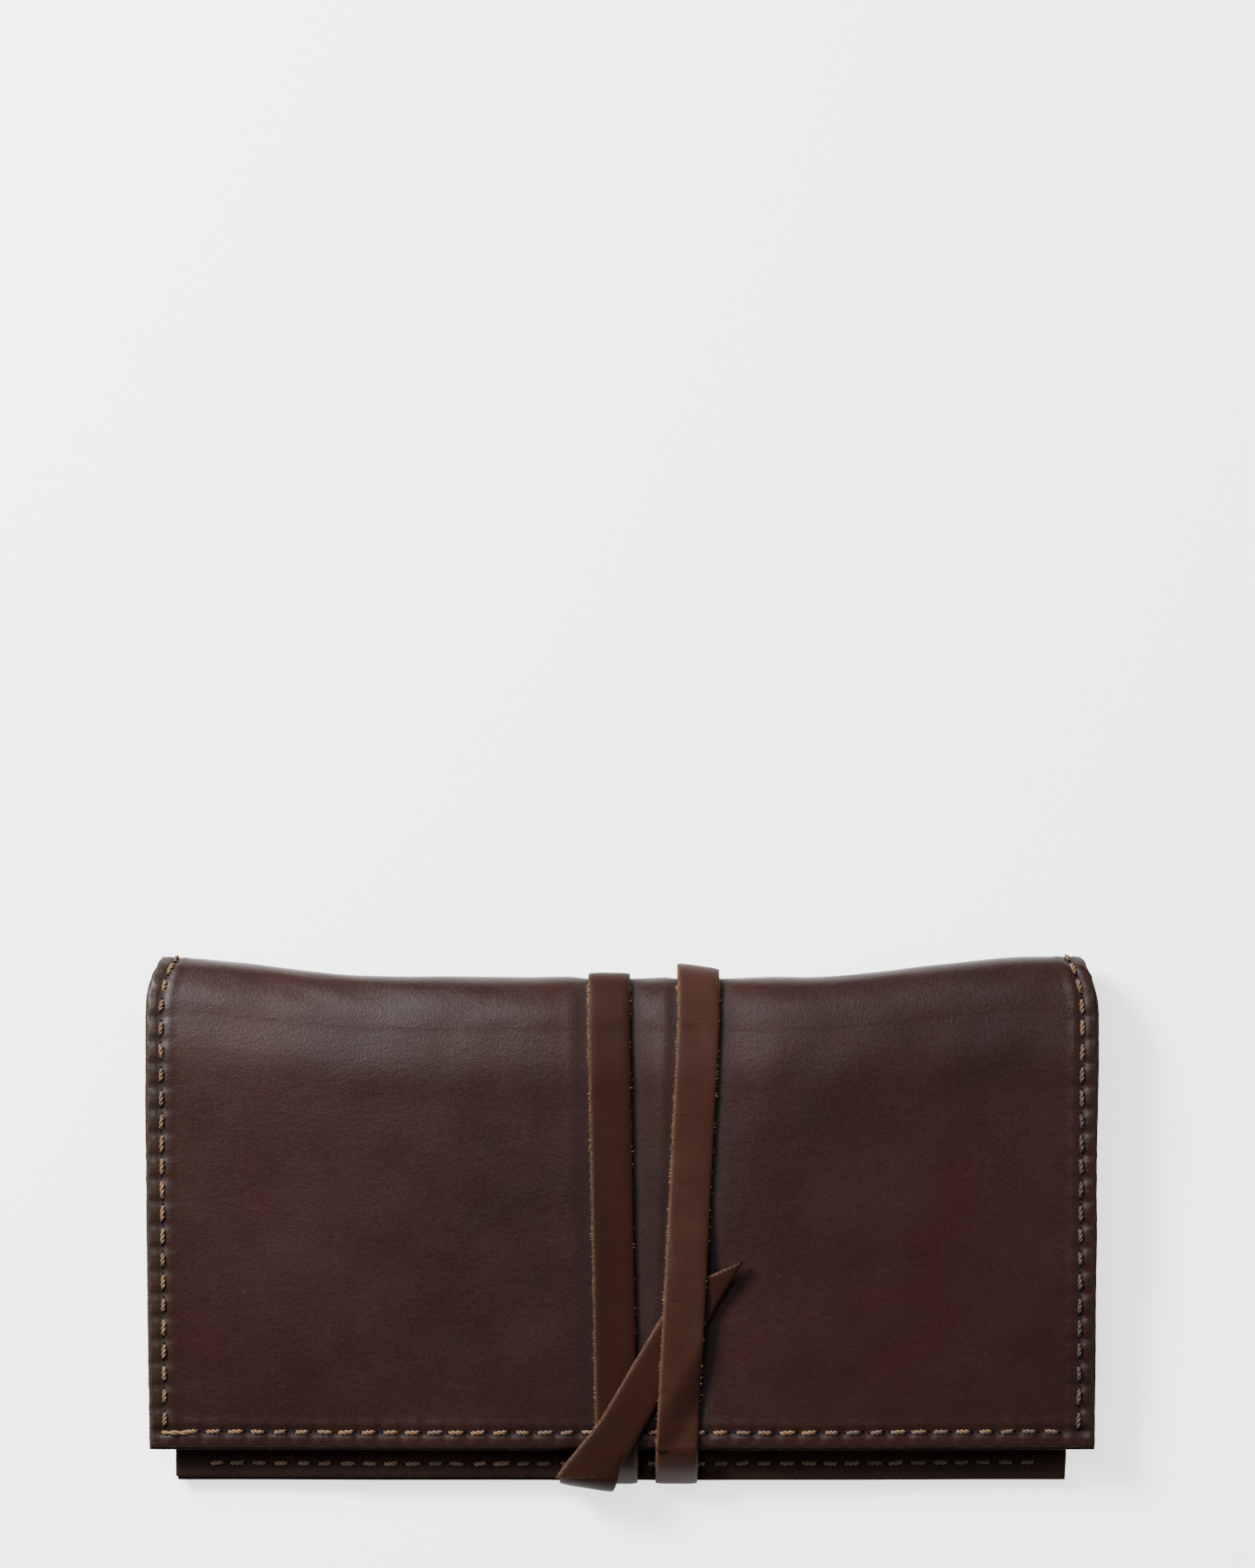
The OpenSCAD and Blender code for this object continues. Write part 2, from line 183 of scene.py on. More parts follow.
class Graph:
    """One material's nodes."""

    def __init__(self, name: str) -> None:
        """Starts an empty material of that name."""
        self.material = bpy.data.materials.new(name)
        self.material.use_nodes = True
        self.tree = self.material.node_tree
        self.tree.nodes.clear()

    def node(
        self, kind: str, settings: dict[str, object] | None = None, inputs: dict[object, object] | None = None
    ) -> bpy.types.Node:
        """Adds a node and links or sets its sockets.

        Args:
            kind: The node's type.
            settings: Its own settings, set before its sockets.
            inputs: A value, a socket or a Value for each input, by name or number.

        Returns:
            The node.
        """
        node = self.tree.nodes.new(kind)
        for name, value in (settings or {}).items():
            setattr(node, name, value)
        for name, value in (inputs or {}).items():
            source = value.socket if isinstance(value, Value) else value
            if isinstance(source, Socket):
                self.tree.links.new(source, node.inputs[name])
            else:
                node.inputs[name].default_value = source
        return node

    @cached_property
    def place(self) -> Socket:
        """Returns the object's own coordinates."""
        return self.node("ShaderNodeTexCoord").outputs["Object"]

    def stretched(self, source: Socket, scale: tuple[float, float, float]) -> Socket:
        """Returns coordinates scaled differently along each axis."""
        return self.node("ShaderNodeMapping", None, {"Vector": source, "Scale": scale}).outputs[0]

    def attribute(self, name: str) -> Value:
        """Returns a number painted on the mesh."""
        node = self.node("ShaderNodeAttribute", {"attribute_name": name})
        return Value(self, node.outputs["Fac"])

    def noise(
        self, scale: float, detail: float = 4.0, rough: float = 0.55, source: Socket | None = None
    ) -> Value:
        """Returns cloudy noise of about 0 to 1.

        Args:
            scale: Cells in a metre.
            detail: How many finer layers it has.
            rough: How strong the finer layers are.
            source: The coordinates, or None for the object's own.
        """
        node = self.node(
            "ShaderNodeTexNoise",
            None,
            {"Vector": source or self.place, "Scale": scale, "Detail": detail, "Roughness": rough},
        )
        return Value(self, node.outputs["Fac"])

    def cells(self, scale: float) -> Value:
        """Returns the distance inside pebbled cells, of about 0 to 1."""
        node = self.node("ShaderNodeTexVoronoi", {"feature": "F1"}, {"Vector": self.place, "Scale": scale})
        return Value(self, node.outputs["Distance"])

    def blend(self, share: Value | float, first: Socket | Colour, second: Socket | Colour) -> Socket:
        """Returns a colour that goes from first to second by share."""
        settings = {"data_type": "RGBA", "blend_type": "MIX"}
        return self.node("ShaderNodeMix", settings, {0: share, 6: first, 7: second}).outputs[2]

    def relief(self, height: Value, depth: float) -> Socket:
        """Returns a normal bent by a height of the given depth in metres."""
        return self.node("ShaderNodeBump", None, {"Height": height, "Distance": depth, "Strength": 1.0}).outputs[0]

    def finish(self, **sockets: object) -> Material:
        """Adds the surface shader, with underscores for the spaces in its sockets' names."""
        inputs = {name.replace("_", " "): value for name, value in sockets.items()}
        shader = self.node("ShaderNodeBsdfPrincipled", None, inputs)
        self.node("ShaderNodeOutputMaterial", None, {"Surface": shader.outputs[0]})
        return self.material


def srgb(red: int, green: int, blue: int) -> Colour:
    """Returns a colour given in steps of 255 as the linear one that materials take."""
    def channel(step: int) -> float:
        """Returns one linear channel."""
        share = step / 255.0
        return share / 12.92 if share <= 0.04045 else ((share + 0.055) / 1.055) ** 2.4

    return (channel(red), channel(green), channel(blue), 1.0)


@dataclass(frozen=True)
class SmoothLeather:
    """Oiled brown leather with a fine grain, paler where it is cut."""

    name: str = "cover_leather"
    body: Colour = srgb(34, 15, 11)
    deep: Colour = srgb(27, 11, 8)
    ruddy: Colour = srgb(38, 13, 8)
    bloom: Colour = srgb(48, 30, 25)
    rim: Colour = srgb(30, 22, 14)
    # The near-black that painted shade darkens towards.
    painted_shade_colour: Colour = srgb(9, 4, 3)
    cut: Colour = srgb(48, 32, 22)
    speck: Colour = srgb(104, 90, 80)
    grain_scale: float = 1500.0
    roughness: float = 0.4

    def build(self) -> Material:
        """Returns the material."""
        graph = Graph(self.name)
        clouds = graph.noise(26.0, 5.0, 0.6)
        mottle = graph.noise(150.0, 4.0, 0.6)
        fine = graph.noise(900.0, 3.0, 0.6)
        colour = graph.blend(clouds.step(0.34, 0.66), self.deep, self.body)
        colour = graph.blend(graph.noise(17.0, 3.0).step(0.52, 0.72) * 0.55, colour, self.ruddy)
        colour = graph.blend(mottle.step(0.55, 0.85) * 0.14, colour, self.bloom)
        colour = graph.blend(mottle.step(0.45, 0.2) * 0.2, colour, self.deep)
        colour = graph.blend(graph.attribute("rim") * 0.75, colour, self.rim)
        # Painted shade: the straps' shadows, the stitch grooves and the holes.
        painted_shade = graph.attribute("painted_shade")
        colour = graph.blend(painted_shade, colour, self.painted_shade_colour)
        colour = graph.blend(fine.step(0.3, 0.75) * 0.16, colour, self.bloom)
        specks = graph.cells(420.0).step(0.07, 0.03) * graph.noise(45.0, 2.0).step(0.5, 0.62)
        colour = graph.blend(specks * 0.3, colour, self.speck)
        cut = graph.attribute("cut")
        fibres = graph.noise(1600.0, 3.0, 0.7)
        colour = graph.blend(cut * fibres.step(0.25, 0.7), colour, self.cut)
        pores = graph.cells(self.grain_scale)
        creases = graph.noise(420.0, 4.0, 0.65, graph.stretched(graph.place, (0.35, 1.0, 1.0)))
        height = pores * 0.35 + fine * 0.5 + creases * 0.9
        worn = graph.noise(60.0, 4.0, 0.6)
        return graph.finish(
            Base_Color=colour,
            Roughness=self.roughness + (worn - 0.5) * 0.16 + (cut + painted_shade) * 0.4 + (fine - 0.5) * 0.12,
            Normal=graph.relief(height, 0.00008),
            Specular_IOR_Level=0.22,
        )


@dataclass(frozen=True)
class SuedeLeather:
    """The napped side of a thinner brown leather: partly its own dark brown, partly painted shade for the strip in
    the flap's shadow.
    """

    name: str = "lining_leather"
    body: Colour = srgb(33, 18, 13)
    deep: Colour = srgb(22, 11, 8)
    pale: Colour = srgb(46, 29, 21)
    cut: Colour = srgb(58, 38, 27)

    def build(self) -> Material:
        """Returns the material."""
        graph = Graph(self.name)
        clouds = graph.noise(40.0, 5.0, 0.65)
        nap = graph.noise(1300.0, 4.0, 0.75)
        colour = graph.blend(clouds.step(0.35, 0.68), self.deep, self.body)
        colour = graph.blend(nap.step(0.42, 0.75) * 0.6, colour, self.pale)
        # Painted shade, left at nothing on the lining's pieces.
        colour = graph.blend(graph.attribute("painted_shade") * 0.7, colour, self.deep)
        colour = graph.blend(graph.attribute("cut") * nap.step(0.3, 0.6) * 0.8, colour, self.cut)
        height = nap * 0.8 + graph.noise(3200.0, 2.0) * 0.4
        return graph.finish(
            Base_Color=colour,
            Roughness=0.82 + (clouds - 0.5) * 0.2,
            Normal=graph.relief(height, 0.00012),
            Specular_IOR_Level=0.15,
        )


@dataclass(frozen=True)
class StrapLeather:
    """Red-brown strap leather, stretched lengthwise, with a pale cut edge."""

    name: str = "strap_leather"
    body: Colour = srgb(34, 10, 3)
    worn: Colour = srgb(52, 29, 22)
    deep: Colour = srgb(25, 8, 3)
    cut: Colour = srgb(98, 74, 54)

    def build(self) -> Material:
        """Returns the material."""
        graph = Graph(self.name)
        lengthwise = graph.node("ShaderNodeUVMap", {"uv_map": "strap"}).outputs[0]
        streaks = graph.noise(95.0, 5.0, 0.65, graph.stretched(lengthwise, (1.0, 0.16, 1.0)))
        mottle = graph.noise(60.0, 5.0, 0.6)
        grain = graph.noise(1500.0, 3.0, 0.65)
        pores = graph.cells(1400.0)
        colour = graph.blend(streaks.step(0.3, 0.7), self.deep, self.body)
        colour = graph.blend(graph.attribute("worn") * (0.5 + mottle.step(0.25, 0.75) * 0.5), colour, self.worn)
        wrinkles = graph.noise(420.0, 3.0, 0.6, graph.stretched(lengthwise, (0.25, 1.0, 1.0)))
        colour = graph.blend(wrinkles.step(0.42, 0.25) * 0.5, colour, self.deep)
        fibres = graph.noise(1500.0, 3.0, 0.75)
        # The pale cut edge, dimmed on the strap's right side as painted shade.
        cut = graph.attribute("cut")
        colour = graph.blend(cut * fibres.step(0.32, 0.66), colour, self.cut)
        height = grain * 0.6 + pores * 0.3 + wrinkles * 0.8 + streaks * 0.6
        return graph.finish(
            Base_Color=colour,
            Roughness=0.56 + (mottle - 0.5) * 0.16 + cut * 0.35,
            Normal=graph.relief(height, 0.00008),
            Specular_IOR_Level=0.1,
        )


@dataclass(frozen=True)
class WaxedThread:
    """Twisted golden-tan thread, waxed, with painted shade between its plies."""

    name: str = "thread"
    body: Colour = srgb(90, 58, 27)
    deep: Colour = srgb(34, 18, 9)
    pale: Colour = srgb(128, 92, 52)
    dark: Colour = srgb(46, 31, 23)

    def build(self) -> Material:
        """Returns the material."""
        graph = Graph(self.name)
        fibres = graph.noise(3800.0, 3.0, 0.7)
        colour = graph.blend(fibres.step(0.35, 0.7), self.body, self.pale)
        # Painted shade between the plies.
        colour = graph.blend(graph.attribute("groove"), colour, self.deep)
        # Soil, with painted shade on the lining's face.
        colour = graph.blend(graph.attribute("soil_and_shade"), colour, self.dark)
        return graph.finish(
            Base_Color=colour,
            Roughness=0.62 + (fibres - 0.5) * 0.2,
            Normal=graph.relief(fibres, 0.00006),
            Sheen_Weight=0.12,
        )


@dataclass(frozen=True)
class LooseFibre:
    """Loose fibres of raw leather."""

    name: str
    body: Colour
    pale: Colour

    def build(self) -> Material:
        """Returns the material."""
        graph = Graph(self.name)
        colour = graph.blend(graph.noise(300.0, 3.0).step(0.35, 0.65), self.body, self.pale)
        return graph.finish(Base_Color=colour, Roughness=0.9, Specular_IOR_Level=0.1)


@dataclass(frozen=True)
class AwlHoleShade:
    """Painted shade: a near-black blob for the dark inside of a stitch hole."""

    name: str = "awl_hole_shade"

    def build(self) -> Material:
        """Returns the material."""
        graph = Graph(self.name)
        colour = graph.blend(graph.noise(2500.0), srgb(8, 5, 4), srgb(20, 12, 9))
        return graph.finish(Base_Color=colour, Roughness=0.9, Specular_IOR_Level=0.1)


@dataclass(frozen=True)
class PaleFloor:
    """A plain pale table top."""

    name: str = "floor"

    def build(self) -> Material:
        """Returns the material."""
        graph = Graph(self.name)
        return graph.finish(
            Base_Color=(0.93, 0.93, 0.93, 1.0),
            Roughness=0.9,
            Specular_IOR_Level=0.1,
            Emission_Color=(1.0, 1.0, 1.0, 1.0),
            Emission_Strength=1.8,
        )


# ---------------------------------------------------------------- the sheet's form


class Face(Enum):
    """The two faces of the folded sheet."""

    COVER = "cover"
    LINING = "lining"


@dataclass
class Turn:
    """One turn of the strap round the case, by the middle of its width."""

    front_top_x: float
    front_end_x: float
    back_top_x: float
    back_end_x: float
    half_width: float

    def middle(self, t: float) -> float:
        """Returns x of the strap's middle at a place t round the sheet."""
        if t <= 1.0:
            return mix(self.back_end_x, self.back_top_x, t)
        if t <= 2.0:
            return mix(self.back_top_x, self.front_top_x, t - 1.0)
        return mix(self.front_top_x, self.front_end_x, t - 2.0)


@dataclass
class CaseForm:
    """The outer face of the closed case, worked out from the frame, in metres.

    A place on the sheet is u, from -1 at the left edge to 1 at the right, and t, from 0 at the back's
    free edge through 1 and 2 at the ends of the fold to 3 at the flap's free edge.
    """

    back_end_y: float
    fold_y: float
    fold_depth: float
    back_z: float
    front_z: float
    flap_end_y: float
    flap_half: float
    turns: tuple[Turn, Turn]
    back_end_half: float = 131.0 * MM
    fold_half: float = 136.5 * MM
    flap_end_half: float = 139.0 * MM
    flap_drop: float = 5.0 * MM
    drop_power: float = 1.8
    fold_dip: float = 5.8 * MM
    dip_x: float = -8.0 * MM
    dip_inner: float = 60.0 * MM
    dip_outer: float = 132.0 * MM
    end_sag: float = 1.8 * MM
    sag_inner: float = 45.0 * MM
    sag_outer: float = 130.0 * MM
    squareness: float = 2.2
    valley: float = 0.6 * MM
    valley_left: float = 6.0 * MM
    valley_right: float = 18.0 * MM
    calm_reach: float = 14.0 * MM
    shoulder: float = 1.4 * MM
    shoulder_reach: float = 18.0 * MM
    fold_pinch: float = 2.6 * MM
    ridge_y: float = 50.0 * MM
    ridge_half: float = 11.0 * MM
    ridge: float = 0.15 * MM
    ridge_size: float = 50.0 * MM
    ridge_seed: float = 1.0
    swell: float = 0.55 * MM
    swell_size: float = 46.0 * MM
    swell_seed: float = 3.1
    ripple: float = 0.16 * MM
    ripple_size: float = 12.0 * MM
    ripple_seed: float = 8.4
    edge_wave: float = 0.35 * MM
    edge_rough: float = 0.13 * MM
    pattern_run: float = 110.0 * MM
    slope_step: float = 0.012
    arc_steps: int = 120

    def dip(self, x: float) -> float:
        """Returns how far the strap pulls the fold down at x."""
        return self.fold_dip * ease((self.dip_outer - abs(x - self.dip_x)) / (self.dip_outer - self.dip_inner))

    def fold_start(self, x: float) -> float:
        """Returns y where the fold starts at x."""
        return self.fold_y - self.dip(x)

    def sag(self, x: float) -> float:
        """Returns how far the case's ends sag towards the table at x."""
        return self.end_sag * ease((abs(x) - self.sag_inner) / (self.sag_outer - self.sag_inner))

    def half_width(self, t: float) -> float:
        """Returns half the sheet's width at t."""
        if t <= 1.0:
            return mix(self.back_end_half, self.fold_half, t)
        if t <= 2.0:
            return mix(self.fold_half, self.flap_half, t - 1.0) - self.fold_pinch * hump(t - 1.5, 0.5)
        return mix(self.flap_half, self.flap_end_half, t - 2.0)

    def line(self, x: float, t: float) -> Vector:
        """Returns the outer face at x and t before any relief, as a point with no x."""
        start = self.fold_start(x)
        if t <= 1.0:
            return Vector((0.0, mix(self.back_end_y, start, t), self.back_z))
        if t < 2.0:
            turn = math.radians(180.0 * (t - 1.0) - 90.0)
            power = 2.0 / self.squareness
            rise = 0.5 * (self.front_z - self.back_z)
            height = math.copysign(abs(math.sin(turn)) ** power, math.sin(turn))
            reach = self.fold_depth * max(math.cos(turn), 0.0) ** power
            return Vector((0.0, start + reach, self.back_z + rise * (1.0 + height)))
        share = t - 2.0
        y = mix(start, self.flap_end_y, share)
        return Vector((0.0, y, self.front_z - self.flap_drop * share ** self.drop_power))

    def outward(self, x: float, t: float) -> Vector:
        """Returns the outer face's unit normal at x and t, before any relief."""
        along = self.line(x, min(t + self.slope_step, 3.0)) - self.line(x, max(t - self.slope_step, 0.0))
        return Vector((0.0, along.z, -along.y)).normalized()

    def relief(self, x: float, t: float) -> float:
        """Returns how far the whole sheet stands out from its plain form at x and t."""
        place = Vector((x, t * self.pattern_run, 0.0))
        lift = self.swell * wander(place, self.swell_size, self.swell_seed)
        lift += self.ripple * wander(place, self.ripple_size, self.ripple_seed)
        depth, calm = 0.0, 1.0
        for turn in self.turns:
            away = x - turn.middle(t)
            gap = abs(away) - turn.half_width
            calm = min(calm, ease(gap / self.calm_reach))
            depth = max(depth, ease(1.0 - gap / (self.valley_right if away > 0.0 else self.valley_left)))
        lift = lift * calm - self.valley * depth
        if 1.0 < t <= 2.0:
            share = t - 1.0
            lift -= self.shoulder * share * share * (3.0 - 2.0 * share + self.shoulder_lean * (1.0 - share))
        elif t > 2.0:
            y = self.line(x, t).y + self.dip(x)
            lift -= self.shoulder * clamp(1.0 - (self.fold_y - y) / self.shoulder_reach) ** 2
            strong = 0.75 + 0.25 * wander(place, self.ridge_size, self.ridge_seed)
            lift += self.ridge * hump(y - self.ridge_y, self.ridge_half) * strong
            lift -= 0.5 * self.ridge * hump(y - self.ridge_y - self.ridge_half, 0.8 * self.ridge_half)
        return lift

    def point(self, u: float, t: float, depth: float = 0.0) -> Vector:
        """Returns a place on or in the sheet.

        Args:
            u: The share of the half width, -1 to 1.
            t: The place round the sheet, 0 to 3.
            depth: How far in from the cover's outer face, in metres.
        """
        x = u * self.half_width(t)
        return self.at(x, t, depth)

    def at(self, x: float, t: float, depth: float = 0.0) -> Vector:
        """Returns a place on or in the sheet by x in metres, t and depth."""
        place = self.line(x, t) + self.outward(x, t) * (self.relief(x, t) - depth)
        return Vector((x, place.y, place.z - self.sag(x)))

    def __post_init__(self) -> None:
        """Measures the outer face round the sheet, and how the fold takes over the flap's slope."""
        marks = [self.line(0.0, step / self.arc_steps) for step in range(3 * self.arc_steps + 1)]
        self._arcs = [0.0]
        for before, after in zip(marks, marks[1:]):
            self._arcs.append(self._arcs[-1] + (after - before).length)
        self.shoulder_lean = 2.0 * (self.arc(2.0) - self.arc(1.0)) / self.shoulder_reach

    def arc(self, t: float) -> float:
        """Returns the distance round the sheet from the back's free edge to t."""
        index = int(clamp(t * self.arc_steps, 0, 3 * self.arc_steps - 1))
        return mix(self._arcs[index], self._arcs[index + 1], t * self.arc_steps - index)

    def t_at(self, arc: float) -> float:
        """Returns the place t at a distance round the sheet."""
        index = min(max(bisect_right(self._arcs, arc) - 1, 0), 3 * self.arc_steps - 1)
        run = self._arcs[index + 1] - self._arcs[index]
        return (index + (arc - self._arcs[index]) / run) / self.arc_steps

    def hinge(self, piece: Object, low: float, high: float) -> None:
        """Lets a piece stay with the case below the height low and turn with the flap above high."""
        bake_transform(piece, "case", "flap", start=(0.0, self.fold_y, low), end=(0.0, self.fold_y, high))

    @classmethod
    def from_frame(cls) -> "CaseForm":
        """Returns the form with its main sizes taken from the frame."""
        back, fold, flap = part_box("cover_back"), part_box("cover_fold"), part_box("cover_flap")
        depth, crown = 15.0 * MM, 1.3 * MM
        runs = {name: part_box(f"strap_{name}") for name in ("top_bend_a", "top_bend_b")}
        half = 0.5 * (runs["top_bend_a"][1][0] - runs["top_bend_a"][0][0])
        tops = [runs[name][0][0] + half for name in ("top_bend_a", "top_bend_b")]
        ends = [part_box(f"strap_bottom_bend_{name}")[0][0] + half for name in ("a", "b")]
        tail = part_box("strap_back_run_b")[0][0] + half
        return cls(
            back_end_y=back[0][1],
            fold_y=fold[1][1] - depth,
            fold_depth=depth + crown,
            back_z=back[0][2],
            front_z=fold[1][2],
            flap_end_y=flap[0][1],
            flap_half=flap[1][0],
            turns=(
                Turn(tops[0], ends[0], tops[0], ends[1], half),
                Turn(tops[1], ends[1], tops[1], tail, half),
            ),
        )


# ---------------------------------------------------------------- mesh making


def keep(bm: Mesh, name: str, material: Material, smooth: bool = True) -> Object:
    """Turns a bmesh into a piece in the scene.

    Args:
        bm: The mesh, in the row's frame and in metres. It is freed.
        name: The piece's name.
        material: Its finish.
        smooth: Whether its faces are shaded smooth.

    Returns:
        The piece.
    """
    for face in bm.faces:
        face.smooth = smooth
    mesh = bpy.data.meshes.new(name)
    bm.to_mesh(mesh)
    bm.free()
    mesh.materials.append(material)
    piece = bpy.data.objects.new(name, mesh)
    bpy.context.scene.collection.objects.link(piece)
    LOG.info("%s: %d faces", name, len(mesh.polygons))
    return piece


def stands_for(piece: Object, slot: str, *nodes: str) -> None:
    """Hides the plain nodes that a piece replaces."""
    if nodes:
        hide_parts(*nodes)


def grid(columns: int, rows: int) -> Mesh:
    """Returns a flat grid from 0 to 1 each way, x across and y along, with the layers that get painted."""
    bm = bmesh.new()
    for name in ("cut", "rim", "painted_shade", "worn", "whole", "right_edge_shade"):
        bm.verts.layers.float.new(name)
    bmesh.ops.create_grid(bm, x_segments=columns, y_segments=rows, size=0.5)
    bmesh.ops.translate(bm, verts=bm.verts, vec=(0.5, 0.5, 0.0))
    return bm


def shell(
    bm: Mesh,
    upper: Callable[[Vector], Vector],
    lower: Callable[[Vector], Vector],
    bulge: float = 0.0,
    joined: Sequence[float] = (),
    wall_cuts: int = 3,
) -> Mesh:
    """Gives a flat piece of leather its thickness and its place, and paints its cut edges.

    Args:
        bm: The flat piece, with each point's place on it as its coordinates.
        upper: Gives a point of the upper face its place in the row's frame.
        lower: The same for the lower face.
        bulge: How far the cut edge swells outwards.
        joined: Where along the flat piece it meets the next ones without a cut edge.
        wall_cuts: How many times the cut edge is divided.

    Returns:
        The same bmesh, closed.
    """
    cut, whole = (bm.verts.layers.float[name] for name in ("cut", "whole"))
    for point in bm.verts:
        point[whole] = 1.0 if any(abs(point.co.y - end) < 1e-5 for end in joined) else 0.0
        point[cut] = 0.5 * (1.0 - point[whole]) if point.is_boundary else 0.0
    made = bmesh.ops.extrude_face_region(bm, geom=list(bm.faces), use_keep_orig=True)["geom"]
    under = {item for item in made if isinstance(item, bmesh.types.BMVert)}
    for edge in bm.edges:
        edge.smooth = min(point[whole] for point in edge.verts) < 1.0
    for point in bm.verts:
        point.co = lower(point.co) if point in under else upper(point.co)
    crossing = [edge for edge in bm.edges if (edge.verts[0] in under) != (edge.verts[1] in under)]
    parted = bmesh.ops.subdivide_edges(bm, edges=crossing, cuts=wall_cuts, use_grid_fill=True)["geom_inner"]
    bmesh.ops.recalc_face_normals(bm, faces=bm.faces)
    bm.normal_update()
    for item in parted:
        if isinstance(item, bmesh.types.BMVert):
            item[cut] = 1.0 - item[whole]
            item.co = item.co + item.normal * bulge * (1.0 - item[whole])
    return bm


@dataclass
class SheetSkin:
    """One layer of leather over a stretch of the folded sheet."""

    form: CaseForm
    start: float
    end: float
    depth: float
    thickness: float
    spacing: tuple[float, float]
    proud: float = 0.0
    seams: "EdgeSeams | None" = None
    joined: Sequence[float] = ()
    bulge: float = 0.12 * MM
    rim_reach: float = 9.0 * MM
    edge_power: int = 12
    wave_size: float = 30.0 * MM
    rough_size: float = 2.2 * MM
    pattern_run: float = 120.0 * MM

    def _spot(self, flat: Vector) -> tuple[float, float]:
        """Returns x and t for a place on the flat piece."""
        t = self.form.t_at(mix(self.form.arc(self.start), self.form.arc(self.end), flat.y))
        u = 2.0 * flat.x - 1.0
        half = self.form.half_width(t) + self.proud
        edge = abs(u) ** self.edge_power
        place = Vector((t * self.pattern_run, u, 0.0))
        wave = wander(place, self.wave_size, 5.0 + self.depth / MM) * self.form.edge_wave
        wave += wander(place, self.rough_size, 2.0 + self.depth / MM) * self.form.edge_rough
        scallop = self.seams.scallop(t) if self.seams else 0.0
        return u * half + math.copysign(edge, u) * (wave + scallop), t

    def _upper(self, flat: Vector) -> Vector:
        """Returns the place of a point on the outer face."""
        x, t = self._spot(flat)
        lift = self.seams.press(x, t) if self.seams else 0.0
        return self.form.at(x, t, self.depth - lift)

    def _lower(self, flat: Vector) -> Vector:
        """Returns the place of a point on the inner face."""
        x, t = self._spot(flat)
        return self.form.at(x, t, self.depth + self.thickness)

    def build(self) -> Mesh:
        """Returns the closed skin."""
        length = self.form.arc(self.end) - self.form.arc(self.start)
        bm = grid(round(2.0 * self.form.flap_half / self.spacing[0]), round(length / self.spacing[1]))
        rim, painted_shade = (bm.verts.layers.float[name] for name in ("rim", "painted_shade"))
        for point in bm.verts:
            x, t = self._spot(point.co)
            point[rim] = hump(x + self.form.half_width(t), self.rim_reach)
            # Painted shade from the seams: the straps' shadows, the stitch grooves and the holes.
            if self.seams:
                point[painted_shade] = self.seams.shade(x, t)
        return shell(bm, self._upper, self._lower, self.bulge, self.joined)


